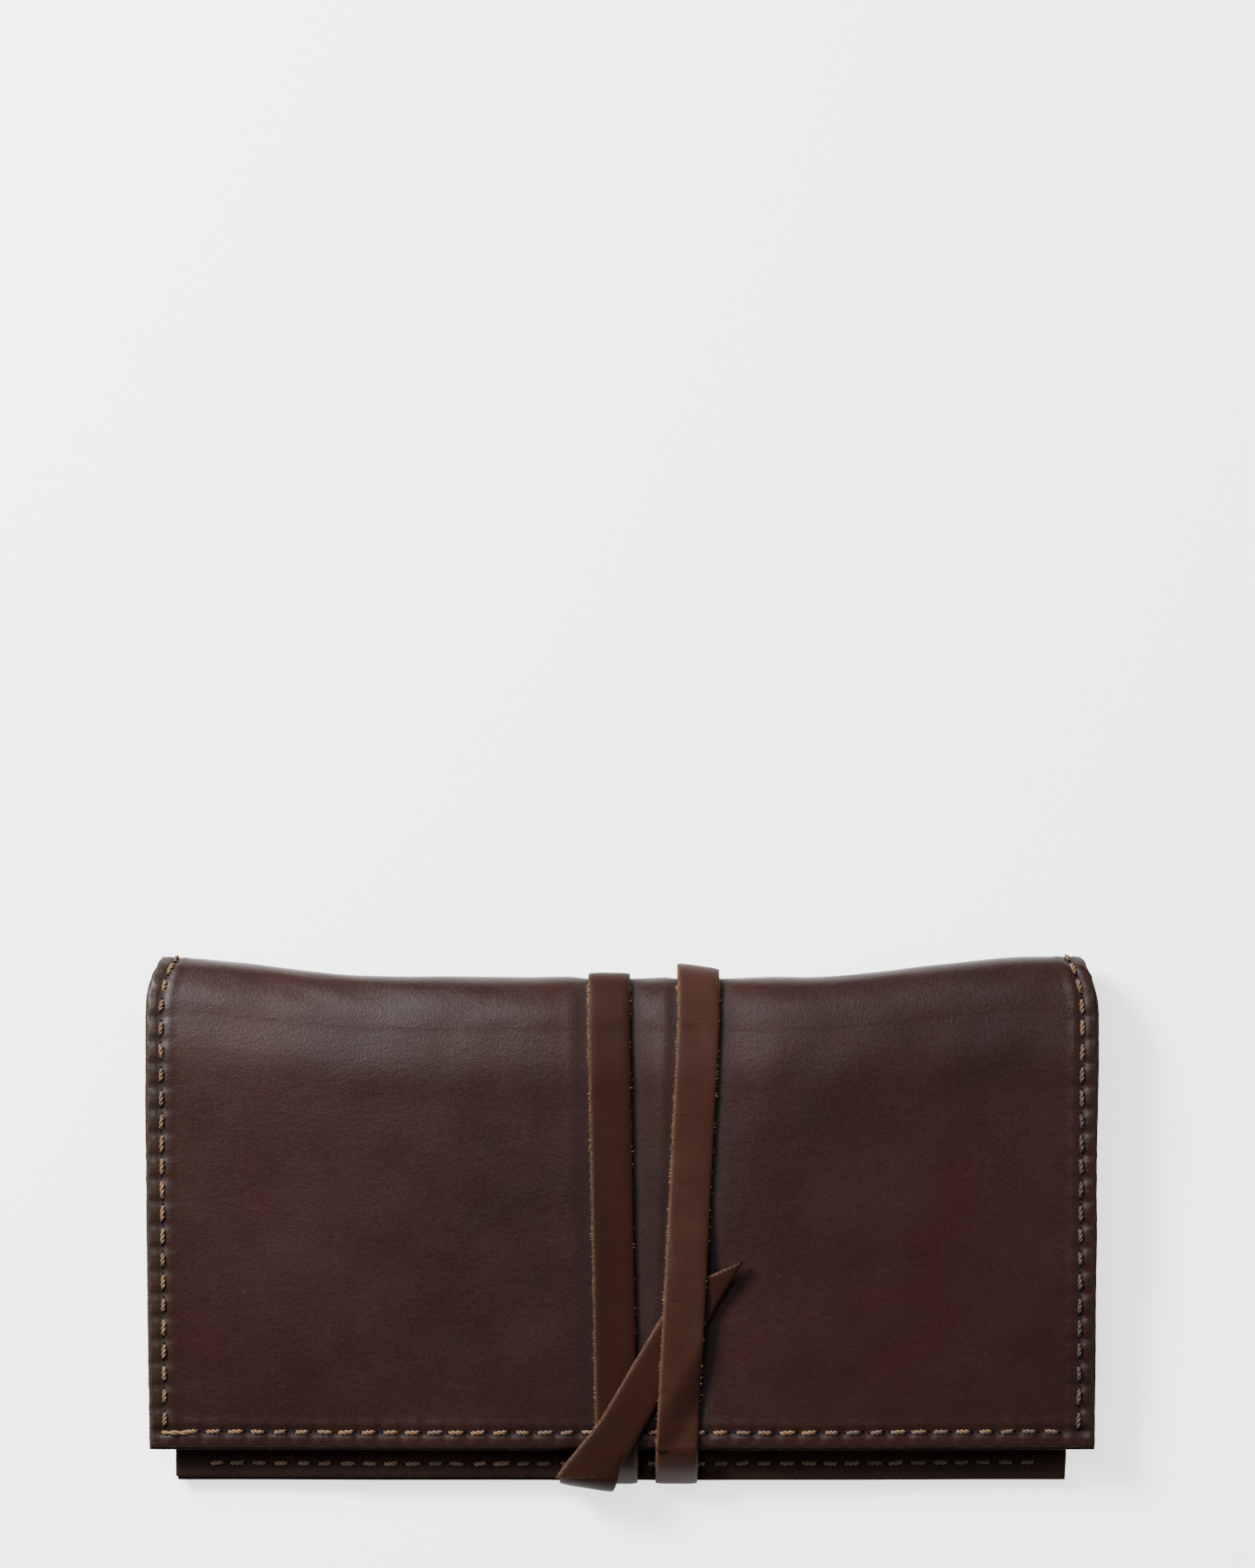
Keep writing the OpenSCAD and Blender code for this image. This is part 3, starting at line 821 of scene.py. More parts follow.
@dataclass
class EdgeSeams:
    """The rows of stitches along the sheet's edges: where each stitch is, and how it presses the leather."""

    form: CaseForm
    pitch: float = 6.5 * MM
    margin: float = 4.4 * MM
    groove: float = 0.26 * MM
    groove_half: float = 1.3 * MM
    pinch: float = 0.7 * MM
    puff: float = 0.2 * MM
    notch: float = 0.34 * MM
    pull: float = 0.22 * MM
    side_start: float = 1.04
    hole_share: float = 0.2
    gather_share: float = 0.26
    puff_at: float = 2.3 * MM
    puff_reach: float = 1.9 * MM
    notch_at: float = 2.0 * MM
    notch_reach: float = 3.0 * MM
    # Painted shadow beside the straps: strength and reach on the shaded right side, then on the lit left side.
    shaded_side: tuple[float, float] = (0.62, 6.5 * MM)
    lit_side: tuple[float, float] = (0.34, 8.0 * MM)
    # Where round the sheet the straps' painted shadow starts.
    strap_shadow_start: float = 1.5
    # Painted shade in the stitch grooves and round their holes.
    hole_shade_share: float = 0.24
    row_shade: tuple[float, float] = (0.6, 1.5 * MM)
    hole_shade: tuple[float, float] = (0.4, 1.1 * MM)

    def __post_init__(self) -> None:
        """Works out the row along the flap's free edge and the rows down the sides."""
        self.end_arc = self.form.arc(3.0) - self.margin
        self.side_arc = self.form.arc(self.side_start)

    def side_phase(self, t: float) -> float:
        """Returns how far t lies through its stitch on the side rows, from -0.5 to 0.5."""
        turns = (self.end_arc - 0.5 * self.pitch - self.form.arc(t)) / self.pitch
        return turns - round(turns)

    def end_phase(self, x: float) -> float:
        """Returns how far x lies through its stitch on the end row, from -0.5 to 0.5."""
        turns = x / self.pitch - 0.5
        return turns - round(turns)

    def scallop(self, t: float) -> float:
        """Returns how far the side edge stands out between stitches at t."""
        return -self.pull * math.cos(2.0 * math.pi * self.side_phase(t)) if t > self.side_start else 0.0

    def _near(self, x: float, t: float) -> list[tuple[float, float, float]]:
        """Returns, for each row near x and t, the distance in from it, the phase and how fully the row is there."""
        arc = self.form.arc(t)
        reach = ease((arc - self.side_arc) / self.pitch) * ease((self.end_arc - arc) / self.pitch + 1.0)
        side = self.form.half_width(t) - self.margin - abs(x)
        along = ease(side / self.pitch + 1.0)
        rows = [(side, self.side_phase(t), reach), (self.end_arc - arc, self.end_phase(x), along)]
        return [row for row in rows if abs(row[0]) < 2.0 * self.margin and row[2] > 0.0]

    def press(self, x: float, t: float) -> float:
        """Returns how far the leather stands out because of its stitches, at x and t."""
        lift = 0.0
        for inward, phase, there in self._near(x, t):
            hole = hump(abs(phase) - 0.5, self.hole_share)
            gather = hump(abs(phase) - 0.5, self.gather_share)
            lift -= there * hump(inward, self.groove_half) * (self.groove + self.pinch * hole)
            lift += there * self.puff * hump(abs(inward) - self.puff_at, self.puff_reach) * (1.0 - gather)
            lift -= there * self.notch * gather * hump(inward + self.notch_at, self.notch_reach)
        return lift

    def strap_painted_shadow(self, x: float, t: float) -> float:
        """Returns the painted shadow beside the straps at x and t, stronger on their shaded right side than their
        lit left.
        """
        mark = 0.0
        for turn in self.form.turns:
            away = x - turn.middle(t)
            strong, reach = self.shaded_side if away > 0.0 else self.lit_side
            mark = max(mark, strong * ease(1.0 - (abs(away) - turn.half_width) / reach))
        return mark

    def shade(self, x: float, t: float) -> float:
        """Returns how dark the leather is painted at x and t: painted shadow beside the straps, painted shade in
        stitch rows and holes.
        """
        # Painted shadow beside the straps, from the middle of the fold onward.
        dark = self.strap_painted_shadow(x, t) if t > self.strap_shadow_start else 0.0
        (row, row_reach), (hole, hole_reach) = self.row_shade, self.hole_shade
        # Painted shade in the stitch grooves and round the holes.
        for inward, phase, there in self._near(x, t):
            near_hole = hump(abs(phase) - 0.5, self.hole_shade_share) * hump(inward, hole_reach)
            dark = max(dark, there * (row * hump(inward, row_reach) + hole * near_hole))
        return dark


# ---------------------------------------------------------------- stitches


@dataclass
class Stitch:
    """One stitch: its two ends on the leather, the way up from the leather, and how dark it is from soil and painted
    shade.
    """

    first: Vector
    second: Vector
    up: Vector
    soil_and_shade: float = 0.0

    def frame(self) -> Matrix:
        """Returns what takes a stitch one metre long, along X with Z up, to this one's place."""
        along = self.second - self.first
        side = self.up.cross(along).normalized()
        turned = Matrix((along, side, along.cross(side).normalized())).transposed().to_4x4()
        return Matrix.Translation((self.first + self.second) / 2.0) @ turned


@dataclass
class StitchWork:
    """Short lengths of two-ply twisted thread that dive into the leather at both ends."""

    radius: float = 0.54 * MM
    sides: int = 6
    rings: int = 9
    twists: float = 1.5
    arch: float = 0.22 * MM
    dive: float = 0.75 * MM
    seat: float = 0.9
    ply_radius: float = 0.72
    ply_offset: float = 0.62
    ply_taper: float = 0.35
    offset_taper: float = 0.4
    hole_size: tuple[float, float, float] = (0.75 * MM, 0.48 * MM, 0.12 * MM)
    hole_beyond: float = 0.1 * MM
    hole_sunk: float = 0.02 * MM
    phases: tuple[float, ...] = (0.0, 1.1, 2.2)
    weld: float = 0.001 * MM

    def _ply(self, bm: Mesh, phase: float) -> None:
        """Adds one ply of a stitch that is one metre long, along X, with Z up from the leather.

        Args:
            bm: The mesh it is added to.
            phase: Where this ply starts round the thread, in radians.
        """
        sheet = bmesh.ops.create_grid(bm, x_segments=self.sides, y_segments=self.rings, size=0.5)["verts"]
        groove = bm.verts.layers.float["groove"]
        for point in sheet:
            share = point.co.y + 0.5
            end = abs(2.0 * share - 1.0) ** 3
            turn = phase + 2.0 * math.pi * self.twists * share
            lean = Vector((0.0, math.cos(turn), math.sin(turn)))
            around = 2.0 * math.pi * point.co.x
            offset = Vector((0.0, math.cos(around), math.sin(around)))
            rise = self.radius * self.seat + self.arch * (1.0 - end) - self.dive * end ** 2
            away = self.ply_offset * self.radius * (1.0 - self.offset_taper * end)
            middle = Vector((share - 0.5, 0.0, rise)) + lean * away
            # Painted shade on the side of each ply that faces the other.
            point[groove] = ease(-lean.dot(offset))
            point.co = middle + offset * self.radius * self.ply_radius * (1.0 - self.ply_taper * end)
        bmesh.ops.remove_doubles(bm, verts=sheet, dist=self.weld)

    def _mould(self, phase: float) -> bpy.types.Mesh:
        """Returns the mesh of a two-ply stitch whose twist starts at phase."""
        bm = bmesh.new()
        bm.verts.layers.float.new("groove")
        for turn in (phase, phase + math.pi):
            self._ply(bm, turn)
        bmesh.ops.holes_fill(bm, edges=[edge for edge in bm.edges if edge.is_boundary])
        bmesh.ops.recalc_face_normals(bm, faces=bm.faces)
        mesh = bpy.data.meshes.new("stitch")
        bm.to_mesh(mesh)
        bm.free()
        return mesh

    def thread(self, stitches: Iterable[Stitch]) -> Mesh:
        """Returns all the thread that shows of some stitches."""
        moulds = [self._mould(phase) for phase in self.phases]
        bm = bmesh.new()
        bm.verts.layers.float.new("groove")
        soil_and_shade = bm.verts.layers.float.new("soil_and_shade")
        for index, stitch in enumerate(stitches):
            start = len(bm.verts)
            bm.from_mesh(moulds[index % len(moulds)])
            bm.verts.ensure_lookup_table()
            fresh = bm.verts[start:]
            bmesh.ops.transform(bm, matrix=stitch.frame(), verts=fresh)
            for point in fresh:
                point[soil_and_shade] = stitch.soil_and_shade
        for mould in moulds:
            bpy.data.meshes.remove(mould)
        return bm

    def holes(self, stitches: Iterable[Stitch]) -> Mesh:
        """Returns painted shade for the holes: dark blobs at the ends of some stitches."""
        bm = bmesh.new()
        for stitch in stitches:
            along = (stitch.second - stitch.first).normalized()
            side = stitch.up.cross(along).normalized()
            for end, sign in ((stitch.first, -1.0), (stitch.second, 1.0)):
                spot = Matrix.Translation(end + along * sign * self.hole_beyond - stitch.up * self.hole_sunk)
                turned = Matrix((along, side, stitch.up)).transposed().to_4x4()
                size = Matrix.Diagonal((*self.hole_size, 1.0))
                bmesh.ops.create_icosphere(bm, subdivisions=1, radius=1.0, matrix=spot @ turned @ size)
        return bm


@dataclass
class SeamRows:
    """Every row of stitches on the case, worked out from its form."""

    form: CaseForm
    seams: EdgeSeams
    chance: random.Random
    length: float = 4.5 * MM
    length_spread: tuple[float, float] = (0.82, 1.08)
    drift: float = 0.3 * MM
    lean: float = 0.22 * MM
    soiled_spread: tuple[float, float] = (-0.2, 0.5)
    soiled_cloud: float = 0.3
    cloud_size: float = 30.0 * MM
    left_soil: float = 0.08
    right_soil: float = 0.85
    right_soil_start: float = 2.1
    across_soil: float = 0.1
    across_soil_rise: float = 0.25
    # Painted shade added to the lining's stitches, which lie in shadow.
    lining_shade: float = 0.3
    end_room: float = 0.4
    lining_depth: float = 2.8 * MM
    panel_depth: float = 4.0 * MM

    def __post_init__(self) -> None:
        """Notes how far the inner panel reaches over the lining."""
        self.panel_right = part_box("brush_pocket")[1][0]

    def _depth(self, x: float, t: float, face: Face) -> float:
        """Returns how far the thread lies in from the cover's plain face."""
        if face is Face.COVER:
            return -self.seams.press(x, t)
        return self.panel_depth if t < 1.0 and x < self.panel_right else self.lining_depth

    def _up(self, x: float, t: float, face: Face) -> Vector:
        """Returns the way up from the leather on that face."""
        return self.form.outward(x, t) * (1.0 if face is Face.COVER else -1.0)

    def _soil_and_shade(self, x: float, arc: float, face: Face, seed: float, worn: float) -> float:
        """Returns how dark the thread is at a place on a face, varying in clouds round worn, with painted shade on
        the lining's face.
        """
        # Painted shade on the lining's face.
        worn += 0.0 if face is Face.COVER else self.lining_shade
        return clamp(self.soiled_cloud * wander(Vector((x, arc, 0.0)), self.cloud_size, seed) + worn)

    def _between(self, spot: Callable[[float], Vector], middle: float, up: Vector, soil_and_shade: float) -> Stitch:
        """Returns a stitch that runs along a row.

        Args:
            spot: Gives the place at a distance along the row.
            middle: The stitch's middle along the row.
            up: The way up from the leather.
            soil_and_shade: How dark the thread is.
        """
        half = 0.5 * self.length * self.chance.uniform(*self.length_spread)
        middle += self.chance.uniform(-self.drift, self.drift)
        lean = Vector((self.chance.uniform(-1, 1), self.chance.uniform(-1, 1), 0.0)) * self.lean
        soil_and_shade = clamp(soil_and_shade + self.chance.uniform(*self.soiled_spread))
        return Stitch(spot(middle - half) + lean, spot(middle + half) - lean, up, soil_and_shade)

    def side(self, sign: float, start_arc: float, end_arc: float, face: Face = Face.COVER) -> list[Stitch]:
        """Returns the stitches down one side between two distances round the sheet.

        Args:
            sign: -1 for the left side and 1 for the right.
            start_arc: Where the stretch starts.
            end_arc: Where it ends.
            face: The face they show on.
        """
        def spot(arc: float) -> Vector:
            """Returns the row's place at a distance round the sheet."""
            t = self.form.t_at(arc)
            x = sign * (self.form.half_width(t) - self.seams.margin)
            return self.form.at(x, t, self._depth(x, t, face))

        found = []
        middle = self.seams.end_arc - 0.5 * self.seams.pitch
        while middle > start_arc:
            if middle <= end_arc:
                t = self.form.t_at(middle)
                x = sign * self.form.half_width(t)
                worn = self.right_soil if sign > 0.0 and t > self.right_soil_start else self.left_soil
                soil_and_shade = self._soil_and_shade(x, middle, face, 2.0, worn)
                found.append(self._between(spot, middle, self._up(x, t, face), soil_and_shade))
            middle -= self.seams.pitch
        return found

    def across(self, arc: float, half: float, face: Face = Face.COVER) -> list[Stitch]:
        """Returns the stitches of a row across the sheet.

        Args:
            arc: The row's distance round the sheet.
            half: Half the row's length.
            face: The face they show on.
        """
        t = self.form.t_at(arc)

        def spot(x: float) -> Vector:
            """Returns the row's place at x."""
            return self.form.at(x, t, self._depth(x, t, face))

        found = []
        count = int(half / self.seams.pitch)
        for index in range(-count, count):
            x = (index + 0.5) * self.seams.pitch
            if abs(x) + self.end_room * self.length > half:
                continue
            worn = self.across_soil + self.across_soil_rise * ease(x / self.form.flap_half)
            soil_and_shade = self._soil_and_shade(x, arc, face, 4.0, worn)
            found.append(self._between(spot, x, self._up(x, t, face), soil_and_shade))
        return found


# ---------------------------------------------------------------- pieces of the case


@dataclass
class Case:
    """The folded sheet: cover, lining and the thread that joins them along the edges."""

    form: CaseForm
    seams: EdgeSeams
    rows: SeamRows
    work: StitchWork
    cover_thickness: float = 1.6 * MM
    lining_gap: float = 0.05 * MM
    lining_thickness: float = 1.15 * MM
    lining_proud: float = 0.35 * MM
    lining_ends: tuple[float, float] = (-0.004, 3.008)
    fold_end: float = 2.0
    spacing: float = 1.05 * MM
    flap_rows: float = 1.0 * MM
    back_rows: float = 1.75 * MM
    lining_spacing: tuple[float, float] = (2.2 * MM, 2.2 * MM)
    cover_blend: tuple[float, float] = (5.3 * MM, 16.5 * MM)
    lining_blend: tuple[float, float] = (6.7 * MM, 16.0 * MM)
    back_rows_start: float = 9.0 * MM
    back_rows_end: float = 0.98
    corner_below: float = 0.3 * MM
    corner_reach: tuple[float, float] = (-1.2 * MM, 8.2 * MM)

    def _layer(self, face: Face, material: Material, name: str, span: tuple[float, float],
               flat: tuple[float, float], *nodes: str) -> None:
        """Makes one stretch of the cover or of the lining.

        Args:
            face: The layer, by the face of the folded sheet that it makes.
            material: Its finish.
            name: The piece's name.
            span: Where it starts and ends round the sheet.
            flat: The size that it was cut to, in metres; not used.
            nodes: The plain nodes that it stands for.
        """
        outer, on_flap = face is Face.COVER, span[0] == self.fold_end
        skin = SheetSkin(
            self.form, *span,
            depth=0.0 if outer else self.cover_thickness + self.lining_gap,
            thickness=self.cover_thickness if outer else self.lining_thickness,
            spacing=(self.spacing, self.flap_rows if on_flap else self.back_rows) if outer else self.lining_spacing,
            proud=0.0 if outer else self.lining_proud,
            seams=self.seams if outer else None,
            joined=(0.0,) if on_flap else (1.0,),
        )
        piece = keep(skin.build(), name, material)
        stands_for(piece, f"{face.value}_leather", *nodes)
        if on_flap:
            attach(piece, "flap")
        else:
            self.form.hinge(piece, *(self.cover_blend if outer else self.lining_blend))

    def cover(self, material: Material) -> None:
        """Makes the cover, parted only where the flap's flat starts."""
        self._layer(Face.COVER, material, "cover_back_and_fold", (0.0, self.fold_end), (0.272, 0.176),
                    "cover_back", "cover_fold")
        self._layer(Face.COVER, material, "cover_front_flap", (self.fold_end, 3.0), (0.280, 0.125), "cover_flap")

    def lining(self, material: Material) -> None:
        """Makes the lining behind the cover, which reaches a little past the cover's free edges."""
        start, end = self.lining_ends
        self._layer(Face.LINING, material, "lining_back_and_fold", (start, self.fold_end), (0.272, 0.170),
                    "lining_back", "lining_fold")
        self._layer(Face.LINING, material, "lining_front_flap", (self.fold_end, end), (0.280, 0.126), "lining_flap")

    def sew(self, thread: Material, hole: Material) -> None:
        """Sews the edges: the flap's, the fold's and the back's."""
        form, seams, rows, sides = self.form, self.seams, self.rows, (-1.0, 1.0)
        fold_arc = form.arc(self.fold_end)

        def edge(start: float, end: float, arc: float, half: float) -> list[Stitch]:
            """Returns both faces' stitches down the sides from start to end and across at arc."""
            found = [stitch for face in Face for sign in sides for stitch in rows.side(sign, start, end, face)]
            return found + [stitch for face in Face for stitch in rows.across(arc, half, face)]

        flap = edge(fold_arc, form.arc(3.0), seams.end_arc, form.flap_end_half - seams.margin)
        flap.append(self._corner_stitch())
        fold = [stitch for sign in sides for stitch in rows.side(sign, seams.side_arc, fold_arc)]
        back_half = form.back_end_half - seams.margin
        back = edge(self.back_rows_start, form.arc(self.back_rows_end), seams.margin, back_half)
        for place, body, stitches in (("flap", "flap", flap), ("fold", None, fold), ("back", "case", back)):
            sewn = keep(self.work.thread(stitches), f"{place}_edge_thread", thread)
            stands_for(sewn, "thread", f"{place}_edge_stitching")
            # Painted shade at the holes.
            pierced = keep(self.work.holes(stitches), f"{place}_edge_hole_shade", hole)
            stands_for(pierced, "cover_leather")
            for piece in (sewn, pierced):
                if body:
                    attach(piece, body)
                else:
                    form.hinge(piece, *self.cover_blend)

    def _corner_stitch(self) -> Stitch:
        """Returns the long doubled stitch at the flap's lower left corner."""
        t = self.form.t_at(self.seams.end_arc + self.corner_below)
        x = -self.form.flap_end_half + self.seams.margin
        start, end = (self.form.at(x + reach, t) for reach in self.corner_reach)
        return Stitch(start, end, self.form.outward(x, t))


@dataclass
class Strap:
    """The strap, wound twice round the case."""

    form: CaseForm
    thickness: float = 1.7 * MM
    clearance: float = 0.06 * MM
    spacing: float = 1.1 * MM
    columns: int = 14
    edge_drop: float = 0.28 * MM
    # How far the pale cut edge is dimmed on the strap's right side: painted shade.
    right_edge_shade_strength: float = 0.85
    edge_wave: float = 0.28 * MM
    blend_levels: tuple[float, float] = (4.7 * MM, 15.2 * MM)
    floor_clearance: float = 0.1 * MM
    twist: float = 1.9 * MM
    twist_at: float = 1.6
    twist_reach: float = 0.55
    wave_size: float = 11.0 * MM
    wave_power: int = 8
    drop_power: int = 7
    slant_power: float = 0.6
    edge_gap: float = 0.15 * MM
    tail_gap: float = 0.2 * MM
    grain: float = 0.07 * MM
    grain_size: float = 7.0 * MM
    bulge: float = 0.14 * MM
    front_end: float = 3.006
    back_end: float = 0.012
    sewn_start: float = 0.014
    sewn_length: float = 28.0 * MM
    sewn_seams: tuple[float, float] = (7.5 * MM, 12.0 * MM)
    sewn_half: float = 2.3 * MM

    def ribbon(
        self, length: float, half: float, place: Callable[[float, float, float], Vector], worn: float, seed: float,
        clip: Callable[[Mesh], None] | None = None, joined: Sequence[float] = (0.0, 1.0),
    ) -> Mesh:
        """Returns a closed length of strap.

        Args:
            length: Its length, in metres.
            half: Half its width.
            place: Gives a place by c, the distance across from the middle, by s, from 0 to 1 along, and by
                h, the height above the strap's middle layer.
            worn: How rubbed and pale it is, from 0 to 1.
            seed: Sets its waviness.
            clip: Cuts the flat strap to shape, with x across from 0 to 1 and y along from 0 to 1.
            joined: Which of its ends run on into another length.
        """
        bm = grid(self.columns, max(4, round(length / self.spacing)))
        if clip:
            clip(bm)
        shade, right_edge_shade = bm.verts.layers.float["worn"], bm.verts.layers.float["right_edge_shade"]
        lengthwise = bm.loops.layers.uv.new("strap")
        for point in bm.verts:
            point[shade] = worn
            # Painted shade: the right side's cut edge loses its pale colour.
            point[right_edge_shade] = self.right_edge_shade_strength * ease(2.0 * point.co.x - 1.0)
        for face in bm.faces:
            for loop in face.loops:
                loop[lengthwise].uv = (loop.vert.co.x * 2.0 * half, seed + loop.vert.co.y * length)

        def spot(flat: Vector, side: float) -> Vector:
            """Returns a place on the upper face, at side 1, or on the lower one, at side -1."""
            c = 2.0 * flat.x - 1.0
            wave = self.edge_wave * wander(Vector((flat.y * length, seed, c)), self.wave_size, 2.0)
            wave *= abs(c) ** self.wave_power
            drop = self.edge_drop * abs(c) ** self.drop_power
            grain = self.grain * wander(Vector((flat.y * length, c * half, seed)), self.grain_size, 1.0)
            height = 0.5 * self.thickness - drop + (grain if side > 0 else 0.0)
            return place(c * half + math.copysign(wave, c) if c else 0.0, flat.y, side * height)

        made = shell(bm, lambda flat: spot(flat, 1.0), lambda flat: spot(flat, -1.0), self.bulge, joined)
        cut, right_edge_shade = made.verts.layers.float["cut"], made.verts.layers.float["right_edge_shade"]
        for point in made.verts:
            # Painted shade: the pale cut edge is dimmed on the right side.
            point[cut] *= 1.0 - point[right_edge_shade]
        return made

    def on_sheet(self, turn: Turn, start: float, end: float, lift: Lift, worn: float, seed: float) -> Mesh:
        """Returns a length of strap that lies on the sheet from t start to t end, raised by lift(x, t)."""
        form = self.form
        first, last = form.arc(start), form.arc(end)

        def place(c: float, s: float, h: float) -> Vector:
            """Returns a place on this length."""
            t = form.t_at(mix(first, last, s))
            x = turn.middle(t) + c
            up = form.outward(x, t)
            return form.at(x, t) + up * (self.clearance + 0.5 * self.thickness + h + lift(x, t))

        return self.ribbon(abs(last - first), turn.half_width, place, worn, seed)

    def own(self, piece: Object, length: float, *nodes: str) -> Object:
        """Hides the plain nodes that a piece of strap stands for, and returns the piece."""
        stands_for(piece, "strap_leather", *nodes)
        2.0 * self.form.turns[0].half_width
        return piece

    def turns(self, tail: "Tail", material: Material) -> None:
        """Makes both turns: each runs down the front, over the fold and across the back."""
        first, second = self.form.turns
        length = self.form.arc(3.0) - self.form.arc(self.back_end)
        under = self.form.back_z + self.form.valley - self.clearance - self.thickness

        def over(x: float, t: float) -> float:
            """Returns how far the second turn stands off: over the tail in front, under the first behind."""
            left = clamp(0.5 - 0.5 * (x - second.middle(t)) / second.half_width)
            twist = self.twist * hump(t - self.twist_at, self.twist_reach) * left
            if t > 2.0:
                return twist + tail.lift_over(x, self.form.line(x, t).y, self)
            return twist + (under - self.floor_clearance) * ease(2.0 - t)

        for turn, name, tag, lift, worn, seed in (
            (first, "first", "a", lambda x, t: 0.0, 0.12, 0.3),
            (second, "second", "b", over, 0.85, 1.7),
        ):
            body = self.on_sheet(turn, self.front_end, self.back_end, lift, worn, seed)
            piece = self.own(keep(body, f"strap_{name}_turn", material), length,
                             f"strap_front_run_{tag}", f"strap_top_bend_{tag}", f"strap_back_run_{tag}")
            self.form.hinge(piece, *self.blend_levels)

    def _wrap(self, points: Sequence[tuple[float, float]], x: tuple[float, float], worn: float, seed: float,
              name: str, material: Material, node: str, spread: float = 1.0, tilt: float = 0.0) -> None:
        """Makes a bend of strap round the case's free edge.

        Args:
            points: Places (y, z) of the strap's middle, from the front down to the back.
            x: The middle of the strap's width at the front and at the back.
            worn: How rubbed it is.
            seed: Sets its waviness.
            name: The piece's name.
            material: Its finish.
            node: The plain bend that this stands for.
            spread: How much wider it is at the front than at the back.
            tilt: How far its left edge stands back from its right edge's reach.
        """
        path = SidePath(points)

        def place(c: float, s: float, h: float) -> Vector:
            """Returns a place on this bend."""
            spot, up = path.at(s)
            slant = tilt * (0.5 - 0.5 * c / half) * math.sin(math.pi * clamp(s)) ** self.slant_power
            across = mix(x[0], x[1], s) + c * mix(spread, 1.0, ease(s))
            return Vector((across, spot[0] + slant, spot[1])) + Vector((0.0, up[0], up[1])) * h

        half = self.form.turns[0].half_width
        piece = self.own(keep(self.ribbon(path.length, half, place, worn, seed), name, material), path.length, node)
        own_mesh(piece)
        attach(piece, "case")

    def bends(self, tail: "Tail", material: Material) -> None:
        """Makes the three bends round the case's free edge."""
        form = self.form
        rise = self.clearance + 0.5 * self.thickness - form.valley
        top = form.line(0.0, 3.0).z + rise
        edge = form.back_end_y - 0.5 * self.thickness - self.edge_gap
        low = form.back_z - rise
        front = [(form.flap_end_y + 1.5 * MM, top + 0.1 * MM), (form.flap_end_y - 1.2 * MM, top - 0.12 * MM)]
        down = [(edge + 5.2 * MM, top - 3.2 * MM), (edge + 1.6 * MM, low + 6.2 * MM), (edge, low + 2.6 * MM)]
        back = [(edge + 1.1 * MM, low + 0.3 * MM), (edge + 4.0 * MM, low)]
        for turn, worn, seed, name, tag in zip(form.turns, (0.15, 0.7), (3.1, 4.2), ("first", "second"), "ab"):
            self._wrap(front + down + back, (turn.front_end_x, turn.front_end_x), worn, seed,
                       f"strap_bottom_bend_{name}", material, f"strap_bottom_bend_{tag}")
        end = tail.start_height(self)
        out = edge - self.thickness - self.tail_gap
        floor = 0.5 * self.thickness + self.floor_clearance
        points = [
            (tail.low_y + 2.2 * MM, end + 0.1 * MM), (tail.low_y - 0.6 * MM, end), (out + 2.6 * MM, end - 1.0 * MM),
            (out + 0.5 * MM, end - 3.6 * MM), (out, end - 7.0 * MM), (out, floor + 4.0 * MM),
            (out + 1.2 * MM, floor + 0.9 * MM), (edge + 5.0 * MM, floor),
        ]
        self._wrap(points, (tail.low_x - 0.3 * MM, form.turns[1].back_end_x), 0.2, 5.3,
                   "strap_tail_bend", material, "strap_bottom_bend_tail", 1.38, 2.6 * MM)

    def sewn_end(self, work: StitchWork, thread: Material, material: Material) -> None:
        """Makes the strap's sewn end on the case's back, and its stitches."""
        form = self.form
        x = form.turns[0].front_end_x
        straight = Turn(x, x, x, x, form.turns[0].half_width)
        start, end = self.sewn_start, form.t_at(self.sewn_length)
        body = keep(self.on_sheet(straight, start, end, lambda x, t: 0.0, 0.2, 6.1), "strap_sewn_end", material)
        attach(self.own(body, form.arc(end) - form.arc(start), "strap_anchor_end"), "case")
        stitches = []
        reach = Vector((self.sewn_half, 0.0, 0.0))
        for arc in self.sewn_seams:
            t = form.t_at(arc)
            down = form.outward(x, t)
            foot = form.at(x, t) + down * (self.clearance + self.thickness)
            stitches.append(Stitch(foot - reach, foot + reach, down))
        sewn = keep(work.thread(stitches), "strap_end_thread", thread)
        stands_for(sewn, "thread", "strap_anchor_stitching")
        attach(sewn, "case")


